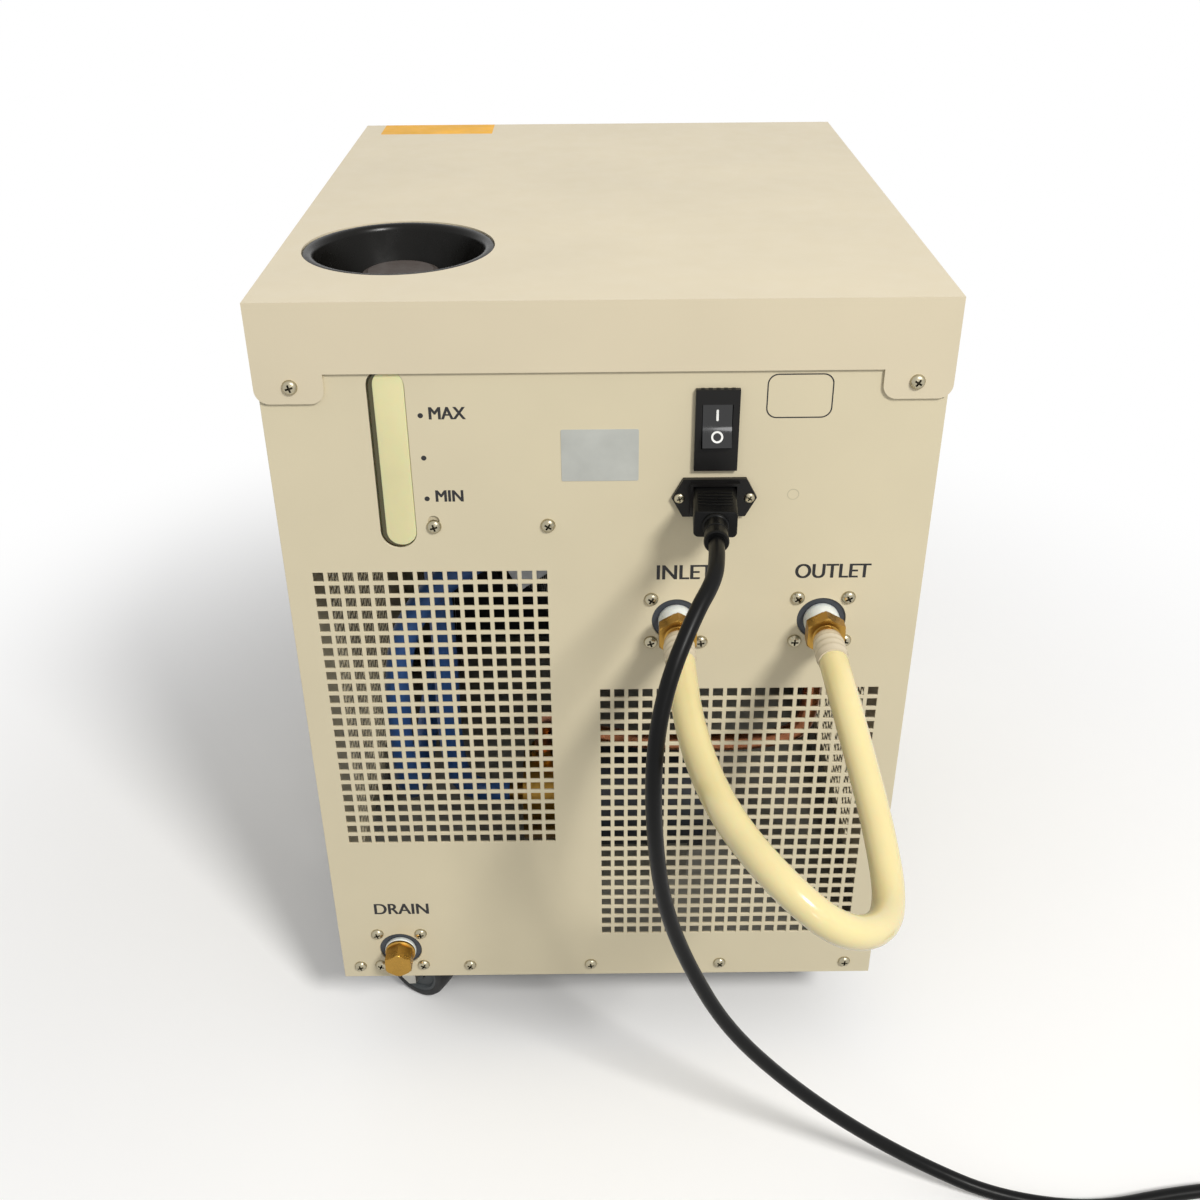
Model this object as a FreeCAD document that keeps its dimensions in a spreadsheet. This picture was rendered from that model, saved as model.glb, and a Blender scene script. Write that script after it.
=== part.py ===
import FreeCAD, Part
import math
import operator
import os
from types import SimpleNamespace

import Sketcher
from FreeCAD import Placement, Rotation, Vector

# A recirculating heat exchanger: a sheet metal cabinet on casters that holds a coolant reservoir,
# a pump, a radiator and a fan. Lengths are in millimetres.
# The sizes below are the cabinet's own: X runs to the right as the service panel is seen,
# Y runs into the cabinet from the service panel's outer face, and Z runs up from its lower edge.
# The part's origin is on the floor, under the middle of its outer box.

SIZES = {
    # cabinet
    "width": 377.8,
    "depth": 459.1,
    "height": 498.0,
    "sheet": 1.5,
    "fit_gap": 0.4,
    "ground_gap": 66.0,
    "side_flange": 12.0,
    # lid
    "lid_side_drop": 18.0,
    "lid_end_drop": 40.0,
    "lid_tab_drop": 57.0,
    "lid_tab_width": 38.3,
    "lid_tab_round": 8.0,
    # base pan
    "pan_lift": 1.0,
    "pan_wall": 21.0,
    "pan_notch": 50.0,
    "pan_notch_lift": 1.2,
    # filler well, its cap and the tank neck
    "well_inset": 68.5,
    "well_y": 102.0,
    "well_hole": 57.0,
    "well_mouth": 50.5,
    "well_foot": 46.0,
    "well_rim": 64.0,
    "well_depth": 31.5,
    "well_wall": 2.0,
    "cap_recess": 14.0,
    "cap_radius": 23.5,
    "cap_height": 15.0,
    "cap_wall": 2.4,
    "cap_step": 3.0,
    "cap_rise": 0.8,
    "neck_radius": 17.0,
    "neck_wall": 2.6,
    "neck_gap": 0.5,
    # reservoir
    "tank_inset": 20.9,
    "tank_width": 90.0,
    "tank_rear": 8.0,
    "tank_front": 190.0,
    "tank_drop": 153.0,
    "tank_wall": 3.0,
    "tank_round": 8.0,
    "tank_gap": 0.3,
    "shelf_overhang": 58.0,
    "shelf_leg": 34.0,
    "shelf_leg_inset": 62.0,
    # level window in the service panel
    "window_inset": 69.4,
    "window_width": 21.0,
    "window_drop": 36.0,
    "window_height": 110.5,
    "window_gap": 1.3,
    "window_recess": 0.6,
    # grilles: square holes in rows and columns
    "hole_pitch": 17.66,
    "hole_side": 12.7,
    "left_grille_inset": 23.5,
    "left_grille_drop": 170.3,
    "left_grille_foot": 130.0,
    "grille_middle_gap": 36.0,
    "right_grille_x": 4.2,
    "right_grille_drop": 256.0,
    "right_grille_foot": 46.0,
    "right_grille_inset": 25.0,
    "side_hole": 25.4,
    "side_pitch": 35.32,
    "side_grille_rear": 107.9,
    "side_grille_drop": 205.3,
    "louvre_length": 250.0,
    "louvre_gap": 8.0,
    "louvre_pitch": 27.0,
    "louvre_low": 70.0,
    # coolant ports
    "port_hole": 14.8,
    "port_plate": 44.0,
    "port_plate_thick": 3.0,
    "port_spacing": 30.5,
    "port_drop": 198.2,
    "inlet_x": 43.0,
    "outlet_inset": 58.1,
    "drain_inset": 42.3,
    "drain_z": 26.7,
    "thread_radius": 9.5,
    "thread_gap": 0.1,
    "tape_thick": 1.1,
    "tape_reach": 11.0,
    "hex_flats": 22.2,
    "hex_reach": 20.5,
    "barb_neck": 6.5,
    "barb_tail": 7.2,
    "barb_start": 26.0,
    "barb_length": 21.0,
    "fitting_bore": 5.0,
    "cut_margin": 1.0,
    "nipple_reach": 16.0,
    "plug_flats": 17.5,
    "plug_neck_reach": 7.0,
    "plug_reach": 18.0,
    # circuit breaker
    "breaker_x": 62.6,
    "breaker_drop": 73.2,
    "bezel_width": 24.4,
    "bezel_height": 48.5,
    "bezel_thick": 3.0,
    "breaker_body_width": 21.0,
    "breaker_body_height": 44.0,
    "breaker_body_depth": 45.0,
    "cutout_gap": 0.5,
    "rocker_width": 16.3,
    "rocker_half": 12.2,
    "rocker_gap": 0.4,
    "rocker_swing": 1.0,
    "rocker_rise": 2.4,
    "rocker_crown": 3.2,
    "rocker_tip": 4.6,
    "rocker_root": 7.0,
    "rocker_root_half": 8.0,
    "rocker_well": 11.0,
    # power inlet
    "power_x": 62.7,
    "power_drop": 114.5,
    "power_flange_width": 48.5,
    "power_flange_flat": 36.0,
    "power_flange_height": 23.5,
    "power_flange_thick": 3.0,
    "power_rim_width": 28.0,
    "power_rim_height": 20.0,
    "power_rim_thick": 2.5,
    "power_body_depth": 24.0,
    "power_shell_inset": 0.5,
    "power_screw_spacing": 40.0,
    "socket_width": 24.8,
    "socket_height": 16.8,
    "socket_depth": 14.0,
    # electrical box behind the breaker and the power inlet
    "box_width": 68.0,
    "box_low_drop": 138.0,
    "box_high_drop": 40.0,
    "box_depth": 62.0,
    # appliance plug and mains plug
    "plug_width": 24.0,
    "plug_height": 16.0,
    "plug_nose": 10.0,
    "plug_length": 36.0,
    "boot_radius": 7.0,
    "boot_length": 21.0,
    "mains_plug_width": 25.0,
    "mains_plug_height": 22.0,
    "mains_plug_length": 28.0,
    "mains_boot_length": 24.0,
    "blade_spacing": 12.7,
    "blade_height": 6.3,
    "blade_thick": 1.5,
    "blade_rise": 2.0,
    "blade_length": 17.5,
    "earth_pin_radius": 2.4,
    "earth_pin_drop": 7.0,
    # screws
    "screw_radius": 4.0,
    "screw_head": 2.3,
    "small_screw_radius": 3.1,
    "small_screw_head": 1.4,
    "cover_screw_inset": 18.1,
    "cover_screw_drop": 47.1,
    "panel_screw_z": 10.6,
    "bracket_screw_rise": 20.5,
    "bracket_screw_inset": 7.3,
    "bracket_screw_end": 12.7,
    # casters
    "caster_inset_x": 27.4,
    "caster_inset_y": 63.0,
    "caster_plate_length": 56.0,
    "caster_plate_width": 46.0,
    "caster_plate_thick": 2.5,
    "race_radius": 19.0,
    "race_thick": 4.0,
    "swivel_gap": 0.3,
    "fork_steel": 2.5,
    "fork_crown": 3.0,
    "fork_width": 28.0,
    "fork_half_length": 18.0,
    "wheel_radius": 25.4,
    "wheel_width": 20.0,
    "wheel_bore": 4.3,
    "axle_radius": 4.0,
    "axle_head": 6.5,
    "axle_head_thick": 3.0,
    "trail": 22.0,
    # radiator
    "radiator_rear": 385.0,
    "radiator_thick": 40.0,
    "radiator_low": 46.0,
    "radiator_high": 330.0,
    "core_width": 280.0,
    "header_width": 20.0,
    "fin_pitch": 20.0,
    "fin_groove": 8.0,
    "fin_depth": 5.0,
    # fan
    "shroud_inset": 2.0,
    "shroud_hole": 112.0,
    "shroud_ring": 2.0,
    "shroud_reach": 24.0,
    "rotor_radius": 106.0,
    "rotor_hub": 32.0,
    "rotor_thick": 18.0,
    "rotor_setback": 2.0,
    "rotor_gap": 3.5,
    "blade_width": 44.0,
    "blade_root": 3.0,
    "fan_shaft": 4.0,
    "fan_shaft_gap": 0.3,
    "fan_shaft_room": 2.0,
    "fan_motor_radius": 34.0,
    "fan_motor_length": 38.0,
    "fan_bar_height": 26.0,
    "fan_bar_thick": 3.0,
    "fan_bar_seat": 8.0,
    # pump
    "pump_y": 130.0,
    "pump_z": 62.0,
    "pump_left": -62.0,
    "pump_head_length": 30.0,
    "pump_head_radius": 36.0,
    "pump_motor_length": 110.0,
    "pump_motor_radius": 42.0,
    "pump_port_radius": 9.0,
    "pump_port_reach": 46.0,
    "pump_nipple": 12.0,
    "pump_foot_length": 80.0,
    "pump_foot_width": 70.0,
    # hoses, pipe and cord
    "hose_radius": 8.5,
    "inner_hose_radius": 9.0,
    "pipe_radius": 6.35,
    "hose_lane": 41.9,
    "cord_radius": 4.4,
    "coil_x": 500.0,
    "coil_y": -77.0,
    "coil_inner": 35.4,
    "coil_outer": 62.2,
    "coil_height": 17.6,
    "coil_tail": 32.0,
}

# whole numbers, shares and angles that set how often a form repeats and how it is turned
SIDE_COLUMNS = 6
SIDE_ROWS = 8
LOUVRES = 10
RADIATOR_GROOVES = 13
FAN_BLADES = 5
SCREW_SIDES = 12
BLADE_PITCH_DEG = 28.0
ROCKER_REST_DEG = 12.0
PANEL_SCREW_SHARES = (-0.935, -0.519, -0.061, 0.428, 0.902)

# each caster: its name, its side, its end of the cabinet and the heading of its trail
CASTERS = (
    ("rear_left", -1, "rear", -30.0),
    ("rear_right", 1, "rear", 90.0),
    ("front_left", -1, "front", 60.0),
    ("front_right", 1, "front", 115.0),
)

doc = FreeCAD.newDocument("HeatExchanger")
pieces = []


class Size:
    """A length with the spreadsheet formula that gives it."""

    def __init__(self, value, text=None):
        self.value = float(value)
        self.text = text or repr(float(value))

    def __add__(self, other):
        return joined(operator.add, "+", self, other)

    def __radd__(self, other):
        return joined(operator.add, "+", other, self)

    def __sub__(self, other):
        return joined(operator.sub, "-", self, other)

    def __rsub__(self, other):
        return joined(operator.sub, "-", other, self)

    def __mul__(self, other):
        return joined(operator.mul, "*", self, other)

    def __rmul__(self, other):
        return joined(operator.mul, "*", other, self)

    def __truediv__(self, other):
        return joined(operator.truediv, "/", self, other)

    def __neg__(self):
        return joined(operator.sub, "-", 0, self)


def sized(item):
    return item if isinstance(item, Size) else Size(item)


def joined(work, sign, left, right):
    left = sized(left)
    right = sized(right)
    return Size(work(left.value, right.value), f"({left.text} {sign} {right.text})")


def fill_sheet():
    """The spreadsheet of driving sizes, and the same sizes by name for the code below."""
    sheet = doc.addObject("Spreadsheet::Sheet", "Sizes")
    named = SimpleNamespace()
    for row, (alias, value) in enumerate(SIZES.items(), start=1):
        sheet.set(f"A{row}", alias)
        sheet.set(f"B{row}", str(value))
        sheet.setAlias(f"B{row}", alias)
        setattr(named, alias, Size(value, f"Sizes.{alias}"))
    doc.recompute()
    return named


d = fill_sheet()

# places that several pieces share
half_width = d.width / 2
lid_side = half_width + d.fit_gap + d.sheet
lid_reach = d.fit_gap + d.sheet
lid_top = d.height + d.sheet
pan_floor = d.pan_lift + d.sheet
well_x = d.well_inset - half_width
window_x = d.window_inset - half_width
window_high = d.height - d.window_drop
window_low = window_high - d.window_height
tank_left = d.tank_inset - half_width
tank_right = tank_left + d.tank_width
tank_low = d.height - d.tank_drop
shelf_right = tank_right + d.shelf_overhang
shelf_leg_left = tank_left + d.shelf_leg_inset
port_height = d.height - d.port_drop
outlet_x = half_width - d.outlet_inset
drain_x = d.drain_inset - half_width
ports = (("inlet", d.inlet_x, port_height), ("outlet", outlet_x, port_height), ("drain", drain_x, d.drain_z))
breaker_z = d.height - d.breaker_drop
rocker_z = breaker_z + d.rocker_rise
power_z = d.height - d.power_drop
tank_top = d.height - d.well_depth - d.tank_gap
cap_top = lid_top - d.cap_recess
cap_low = cap_top - d.cap_height
fitting_reach = d.barb_start + d.barb_length
axle_drop = d.ground_gap + d.pan_lift - d.wheel_radius
crown_drop = d.caster_plate_thick + d.race_thick + d.swivel_gap
shroud_rear = d.radiator_rear - d.sheet
rotor_rear = shroud_rear - d.shroud_reach + d.rotor_setback
motor_front = rotor_rear - d.rotor_gap
motor_rear = motor_front - d.fan_motor_length
fan_z = (d.radiator_low + d.radiator_high) / 2
core_low = d.radiator_low
pump_head_right = d.pump_left + d.pump_head_length

# where the cabinet's own axes stand in the part's frame
rear_shift = -(d.depth + lid_reach - fitting_reach) / 2
floor_shift = d.ground_gap


def bind(item, path, size):
    item.setExpression(path, sized(size).text)


def origin_plane(owner, role):
    return next(item for item in owner.Origin.OriginFeatures if item.Role == role)


def new_body(name):
    return doc.addObject("PartDesign::Body", name)


def finish(item, x=0, y=0, z=0, turn=None):
    """Put a finished piece in its place in the part's frame, and keep it for export."""
    item.Placement = Placement(Vector(), turn or Rotation())
    bind(item, "Placement.Base.x", x)
    bind(item, "Placement.Base.y", rear_shift + y)
    bind(item, "Placement.Base.z", floor_shift + z)
    item.Label = item.Name
    pieces.append(item)
    return item


# sketches


def pin_vertex(sketch, curve, vertex, x, y):
    """Hold a vertex at its distances from the sketch's origin."""
    for kind, size, axis in (("DistanceX", sized(x), -2), ("DistanceY", sized(y), -1)):
        if size.value == 0:
            sketch.addConstraint(Sketcher.Constraint("PointOnObject", curve, vertex, axis))
            continue
        held = Sketcher.Constraint(kind, -1, 1, curve, vertex, size.value)
        index = sketch.addConstraint(held)
        sketch.setExpression(f"Constraints[{index}]", size.text)


def outline(*corners):
    """A closed outline of straight sides."""

    def draw(sketch):
        first = sketch.GeometryCount
        points = [Vector(sized(x).value, sized(y).value, 0) for x, y in corners]
        for start, end in zip(points, points[1:] + points[:1]):
            sketch.addGeometry(Part.LineSegment(start, end))
        for index, (x, y) in enumerate(corners):
            following = first + (index + 1) % len(corners)
            sketch.addConstraint(Sketcher.Constraint("Coincident", first + index, 2, following, 1))
            pin_vertex(sketch, first + index, 1, x, y)

    return draw


def span(x_low, x_high, y_low, y_high):
    return outline((x_low, y_low), (x_high, y_low), (x_high, y_high), (x_low, y_high))


def oblong(x, y, width, height):
    return span(x - width / 2, x + width / 2, y - height / 2, y + height / 2)


def disc(x, y, radius):
    def draw(sketch):
        centre = Vector(sized(x).value, sized(y).value, 0)
        circle = sketch.addGeometry(Part.Circle(centre, Vector(0, 0, 1), sized(radius).value))
        pin_vertex(sketch, circle, 3, x, y)
        index = sketch.addConstraint(Sketcher.Constraint("Radius", circle, sized(radius).value))
        sketch.setExpression(f"Constraints[{index}]", sized(radius).text)

    return draw


def hexagon(x, y, flats):
    """A hexagon with two corners above and below its middle."""
    side = flats / math.sqrt(3)
    half = flats / 2
    return outline(
        (x, y - side),
        (x + half, y - side / 2),
        (x + half, y + side / 2),
        (x, y + side),
        (x - half, y + side / 2),
        (x - half, y - side / 2),
    )


def upright_slot(x, low, high, width):
    """A slot with round ends that stands upright."""

    def draw(sketch):
        radius = width / 2
        middle = Vector(sized(x).value, 0, 0)
        ends = ((high - radius, 0, math.pi), (low + radius, math.pi, 2 * math.pi))
        arcs = []
        for level, start, stop in ends:
            centre = middle + Vector(0, level.value, 0)
            circle = Part.Circle(centre, Vector(0, 0, 1), radius.value)
            arcs.append(sketch.addGeometry(Part.ArcOfCircle(circle, start, stop)))
            pin_vertex(sketch, arcs[-1], 3, x, level)
        index = sketch.addConstraint(Sketcher.Constraint("Radius", arcs[0], radius.value))
        sketch.setExpression(f"Constraints[{index}]", radius.text)
        sketch.addConstraint(Sketcher.Constraint("Equal", arcs[0], arcs[1]))
        for sign, upper, lower in ((-1, 2, 1), (1, 1, 2)):
            offset = Vector(sign * radius.value, 0, 0)
            top = middle + offset + Vector(0, ends[0][0].value, 0)
            foot = middle + offset + Vector(0, ends[1][0].value, 0)
            side = sketch.addGeometry(Part.LineSegment(top, foot))
            sketch.addConstraint(Sketcher.Constraint("Tangent", side, 1, arcs[0], upper))
            sketch.addConstraint(Sketcher.Constraint("Coincident", side, 2, arcs[1], lower))

    return draw


def new_sketch(owner, name, plane, level, shapes):
    sketch = owner.newObject("Sketcher::SketchObject", name + "_sketch")
    sketch.AttachmentSupport = [(origin_plane(owner, plane), "")]
    sketch.MapMode = "FlatFace"
    lift = -sized(level) if plane == "XZ_Plane" else sized(level)
    bind(sketch, "AttachmentOffset.Base.z", lift)
    for draw in shapes:
        draw(sketch)
    return sketch


# features


def pad(owner, name, plane, low, high, *shapes):
    """Material between two levels across an origin plane."""
    feature = owner.newObject("PartDesign::Pad", name)
    feature.Profile = new_sketch(owner, name, plane, low, shapes)
    feature.Reversed = plane == "XZ_Plane"
    bind(feature, "Length", sized(high) - low)
    return feature


def pocket(owner, name, plane, low, high, *shapes):
    """A cut between two levels across an origin plane, which has to take material away."""
    doc.recompute()
    before = owner.Shape.Volume
    feature = owner.newObject("PartDesign::Pocket", name)
    feature.Profile = new_sketch(owner, name, plane, low, shapes)
    feature.Reversed = plane != "XZ_Plane"
    bind(feature, "Length", sized(high) - low)
    doc.recompute()
    if not owner.Shape.Volume < before:
        raise RuntimeError(f"{name} of {owner.Name} cuts nothing")
    return feature


def turned(owner, name, *corners):
    """A turned form about the body's Z axis. Each corner is a radius and a height."""
    feature = owner.newObject("PartDesign::Revolution", name)
    feature.Profile = new_sketch(owner, name, "XZ_Plane", 0, [outline(*corners)])
    feature.ReferenceAxis = (feature.Profile[0], ["V_Axis"])
    feature.Angle = 360
    return feature


def fitted(start, end, pitch):
    """How many holes stand at a pitch between the first hole's middle and a limit."""
    return int(abs(end.value - start.value) / pitch.value) + 1


def grid(owner, feature, columns, rows, pitch):
    """Repeat a hole to the right and downwards at a pitch."""
    pattern = owner.newObject("PartDesign::LinearPattern", feature.Name + "_grid")
    sketch = feature.Profile[0]
    pattern.Originals = [feature]
    pattern.Direction = (sketch, ["H_Axis"])
    pattern.Occurrences = columns
    pattern.Mode = "Extent"
    bind(pattern, "Length", (columns - 1) * pitch)
    pattern.Direction2 = (sketch, ["V_Axis"])
    pattern.Reversed2 = True
    pattern.Occurrences2 = rows
    pattern.Mode2 = "Extent"
    bind(pattern, "Length2", (rows - 1) * pitch)
    owner.Tip = pattern
    return pattern


def line_of(owner, feature, axis, count, pitch):
    """Repeat a feature along one axis of its sketch."""
    pattern = owner.newObject("PartDesign::LinearPattern", feature.Name + "_row")
    pattern.Originals = [feature]
    pattern.Direction = (feature.Profile[0], [axis])
    pattern.Occurrences = count
    pattern.Mode = "Extent"
    bind(pattern, "Length", (count - 1) * pitch)
    owner.Tip = pattern
    return pattern


def rounded(owner, name, radius, pick):
    """Fillet the edges of the body that pick chooses."""
    doc.recompute()
    base = owner.Tip
    edges = [f"Edge{number}" for number, edge in enumerate(base.Shape.Edges, 1) if pick(edge)]
    feature = owner.newObject("PartDesign::Fillet", name)
    feature.Base = (base, edges)
    bind(feature, "Radius", radius)
    return feature


def runs_along(edge, axis):
    """Whether a straight edge is parallel to a row axis."""
    return edge.Curve.TypeId == "Part::GeomLine" and abs(edge.tangentAt(0).dot(axis)) > 0.999


def block(name, x_low, x_high, y_low, y_high, z_low, z_high):
    item = doc.addObject("Part::Box", name)
    bind(item, "Length", sized(x_high) - x_low)
    bind(item, "Width", sized(y_high) - y_low)
    bind(item, "Height", sized(z_high) - z_low)
    bind(item, "Placement.Base.x", x_low)
    bind(item, "Placement.Base.y", y_low)
    bind(item, "Placement.Base.z", z_low)
    return item


def rod(name, radius, length, x, y, z, turn=None):
    item = doc.addObject("Part::Cylinder", name)
    item.Placement = Placement(Vector(), turn or Rotation())
    bind(item, "Radius", radius)
    bind(item, "Height", length)
    bind(item, "Placement.Base.x", x)
    bind(item, "Placement.Base.y", y)
    bind(item, "Placement.Base.z", z)
    return item


def fused(name, *parts):
    item = doc.addObject("Part::MultiFuse", name)
    item.Shapes = list(parts)
    return item


def cut(name, base, tool):
    item = doc.addObject("Part::Cut", name)
    item.Base = base
    item.Tool = tool
    return item


def group(name, members):
    """Like pieces that share one node as separate solids."""
    item = doc.addObject("Part::Compound", name)
    item.Links = list(members)
    return item


OUTWARD = Rotation(Vector(1, 0, 0), 90)
RIGHTWARD = Rotation(Vector(0, 1, 0), 90)


# cabinet


def rear_panel():
    """The service panel: two perforated fields, the level window and the cut-outs for what it carries."""
    owner = new_body("rear_panel")
    top = d.height - d.fit_gap
    pad(owner, "plate", "XZ_Plane", 0, d.sheet, span(-half_width, half_width, 0, top))
    pocket(
        owner, "cutouts", "XZ_Plane", 0, d.sheet,
        upright_slot(window_x, window_low, window_high, d.window_width),
        oblong(
            d.breaker_x, breaker_z,
            d.breaker_body_width + 2 * d.cutout_gap, d.breaker_body_height + 2 * d.cutout_gap,
        ),
        oblong(d.power_x, power_z, d.power_rim_width, d.power_rim_height),
        *(disc(x, z, d.port_hole) for _, x, z in ports),
    )
    left = d.left_grille_inset - half_width
    left_top = d.height - d.left_grille_drop
    right = d.right_grille_x
    right_top = d.height - d.right_grille_drop
    fields = (
        ("left_hole", left, -d.grille_middle_gap, left_top, d.left_grille_foot),
        ("right_hole", right, half_width - d.right_grille_inset, right_top, d.right_grille_foot),
    )
    for name, start, end, top, foot in fields:
        hole = oblong(start, top, d.hole_side, d.hole_side)
        first = pocket(owner, name, "XZ_Plane", 0, d.sheet, hole)
        columns = fitted(start, end, d.hole_pitch)
        rows = fitted(top, foot, d.hole_pitch)
        grid(owner, first, columns, rows, d.hole_pitch)
    return finish(owner)


def side_panel(name, side):
    """A side wall folded inward at both ends, with its own perforated field."""
    owner = new_body(name)
    outer = side * half_width
    inner = side * (half_width - d.sheet)
    lip = side * (half_width - d.side_flange)
    start = d.sheet
    end = d.depth - d.sheet
    profile = outline(
        (outer, start), (outer, end), (lip, end), (lip, end - d.sheet),
        (inner, end - d.sheet), (inner, start + d.sheet), (lip, start + d.sheet), (lip, start),
    )
    pad(owner, "fold", "XY_Plane", 0, d.height - d.fit_gap, profile)
    low, high = (outer, inner) if side < 0 else (inner, outer)
    hole = oblong(d.side_grille_rear, d.height - d.side_grille_drop, d.side_hole, d.side_hole)
    first = pocket(owner, "vent", "YZ_Plane", low, high, hole)
    grid(owner, first, SIDE_COLUMNS, SIDE_ROWS, d.side_pitch)
    return finish(owner)


def front_panel():
    """The air intake side: a plain panel with a stack of louvre slots."""
    owner = new_body("front_panel")
    rear = d.depth - d.sheet
    top = d.height - d.fit_gap
    pad(owner, "plate", "XZ_Plane", rear, d.depth, span(-half_width, half_width, 0, top))
    slot = oblong(0, d.louvre_low, d.louvre_length, d.louvre_gap)
    first = pocket(owner, "louvre", "XZ_Plane", rear, d.depth, slot)
    line_of(owner, first, "V_Axis", LOUVRES, d.louvre_pitch)
    return finish(owner)


def base_pan():
    """A folded tray that carries the pump, the radiator and the casters."""
    owner = new_body("base_pan")
    side = half_width - d.sheet
    rear = 2 * d.sheet
    front = d.depth - 2 * d.sheet
    top = d.pan_lift + d.pan_wall
    pad(owner, "tray", "XY_Plane", d.pan_lift, top, span(-side, side, rear, front))
    inside = span(-side + d.sheet, side - d.sheet, rear + d.sheet, front - d.sheet)
    pocket(owner, "hollow", "XY_Plane", pan_floor, top, inside)
    notch = span(
        drain_x - d.pan_notch / 2, drain_x + d.pan_notch / 2, pan_floor + d.pan_notch_lift, top
    )
    pocket(owner, "drain_notch", "XZ_Plane", rear, rear + d.sheet, notch)
    return finish(owner)


def top_cover():
    """The lid: a folded tray, open below, with two round tabs that screw to the service panel."""
    owner = new_body("top_cover")
    rear = -lid_reach
    front = d.depth + lid_reach
    low = lid_top - d.lid_tab_drop
    pad(owner, "tray", "XY_Plane", low, lid_top, span(-lid_side, lid_side, rear, front))
    inner = lid_side - d.sheet
    inside = span(-inner, inner, rear + d.sheet, front - d.sheet)
    pocket(owner, "hollow", "XY_Plane", low, d.height, inside)
    side_cut = span(rear + d.sheet, front, low, lid_top - d.lid_side_drop)
    pocket(owner, "side_trim", "YZ_Plane", -lid_side, lid_side, side_cut)
    edge = lid_top - d.lid_end_drop
    tab = lid_side - d.lid_tab_width
    pocket(owner, "rear_trim", "XZ_Plane", rear, rear + d.sheet, span(-tab, tab, low, edge))
    hole = disc(well_x, d.well_y, d.well_hole)
    pocket(owner, "well_hole", "XY_Plane", d.height, lid_top, hole)

    def tab_corner(edge_found):
        across = runs_along(edge_found, Vector(0, 1, 0))
        return across and abs(edge_found.CenterOfMass.z - low.value) < 0.01

    rounded(owner, "tab_round", d.lid_tab_round, tab_corner)
    return finish(owner)


# filler well, tank and window


def filler_well():
    """A moulded bowl under the lid's hole, open in the middle for the tank neck."""
    owner = new_body("filler_well")
    wall = d.well_wall
    depth = d.well_depth
    hole = d.neck_radius + d.neck_gap
    turned(
        owner, "bowl",
        (d.well_mouth, 0), (d.well_rim, 0), (d.well_rim, -wall), (d.well_mouth + wall, -wall),
        (d.well_mouth + wall, -depth), (hole, -depth), (hole, wall - depth), (d.well_foot, wall - depth),
    )
    return finish(owner, well_x, d.well_y, d.height)


def filler_cap():
    """A screw cap with a raised round in its top."""
    owner = new_body("filler_cap")
    radius = d.cap_radius
    bore = d.neck_radius + d.neck_gap
    height = d.cap_height
    turned(
        owner, "shell",
        (0, height), (radius - d.cap_step, height), (radius - d.cap_step, height - d.cap_rise),
        (radius, height - d.cap_rise), (radius, 0),
        (bore, 0), (bore, height - d.cap_wall), (0, height - d.cap_wall),
    )
    return finish(owner, well_x, d.well_y, cap_low)


def reservoir():
    """A blow moulded tank with a filler neck and a raised sight strip that shows in the level window."""
    owner = new_body("reservoir")
    wall = d.tank_wall
    middle_x = well_x
    middle_y = d.well_y
    body_span = span(tank_left, tank_right, d.tank_rear, d.tank_front)
    pad(owner, "tank", "XY_Plane", tank_low, tank_top, body_span)
    rounded(owner, "tank_edges", d.tank_round, lambda edge: runs_along(edge, Vector(0, 0, 1)))
    neck = disc(middle_x, middle_y, d.neck_radius)
    pad(owner, "neck", "XY_Plane", tank_top - wall, cap_top - d.cap_wall - d.neck_gap, neck)
    strip = upright_slot(
        window_x, window_low + d.window_gap, window_high - d.window_gap,
        d.window_width - 2 * d.window_gap,
    )
    pad(owner, "sight_strip", "XZ_Plane", d.window_recess, d.tank_rear + wall, strip)
    room = span(tank_left + wall, tank_right - wall, d.tank_rear + wall, d.tank_front - wall)
    pocket(owner, "room", "XY_Plane", tank_low + wall, tank_top - wall, room)
    mouth = disc(middle_x, middle_y, d.neck_radius - d.neck_wall)
    pocket(owner, "mouth", "XY_Plane", tank_top - 2 * wall, cap_top, mouth)
    return finish(owner)


def reservoir_bracket():
    """A shelf under the tank with a leg that screws to the service panel."""
    owner = new_body("reservoir_bracket")
    low = tank_low - d.sheet
    shelf = span(tank_left, shelf_right, d.sheet, d.tank_front)
    pad(owner, "shelf", "XY_Plane", low, tank_low, shelf)
    leg = span(shelf_leg_left, shelf_right, low, low + d.shelf_leg)
    pad(owner, "leg", "XZ_Plane", d.sheet, 2 * d.sheet, leg)
    return finish(owner)


# coolant ports


def port_plates():
    """Three square plates behind the service panel, each with a threaded bore."""
    plates = []
    half = d.port_plate / 2
    margin = d.cut_margin
    for name, x, z in ports:
        front = d.sheet + d.port_plate_thick
        plate = block(name + "_plate", x - half, x + half, d.sheet, front, z - half, z + half)
        bore = rod(
            name + "_bore", d.thread_radius + d.thread_gap, d.port_plate_thick + 2 * margin,
            x, front + margin, z, OUTWARD,
        )
        plates.append(cut(name + "_port_plate", plate, bore))
    return finish(group("port_plates", plates))


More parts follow.
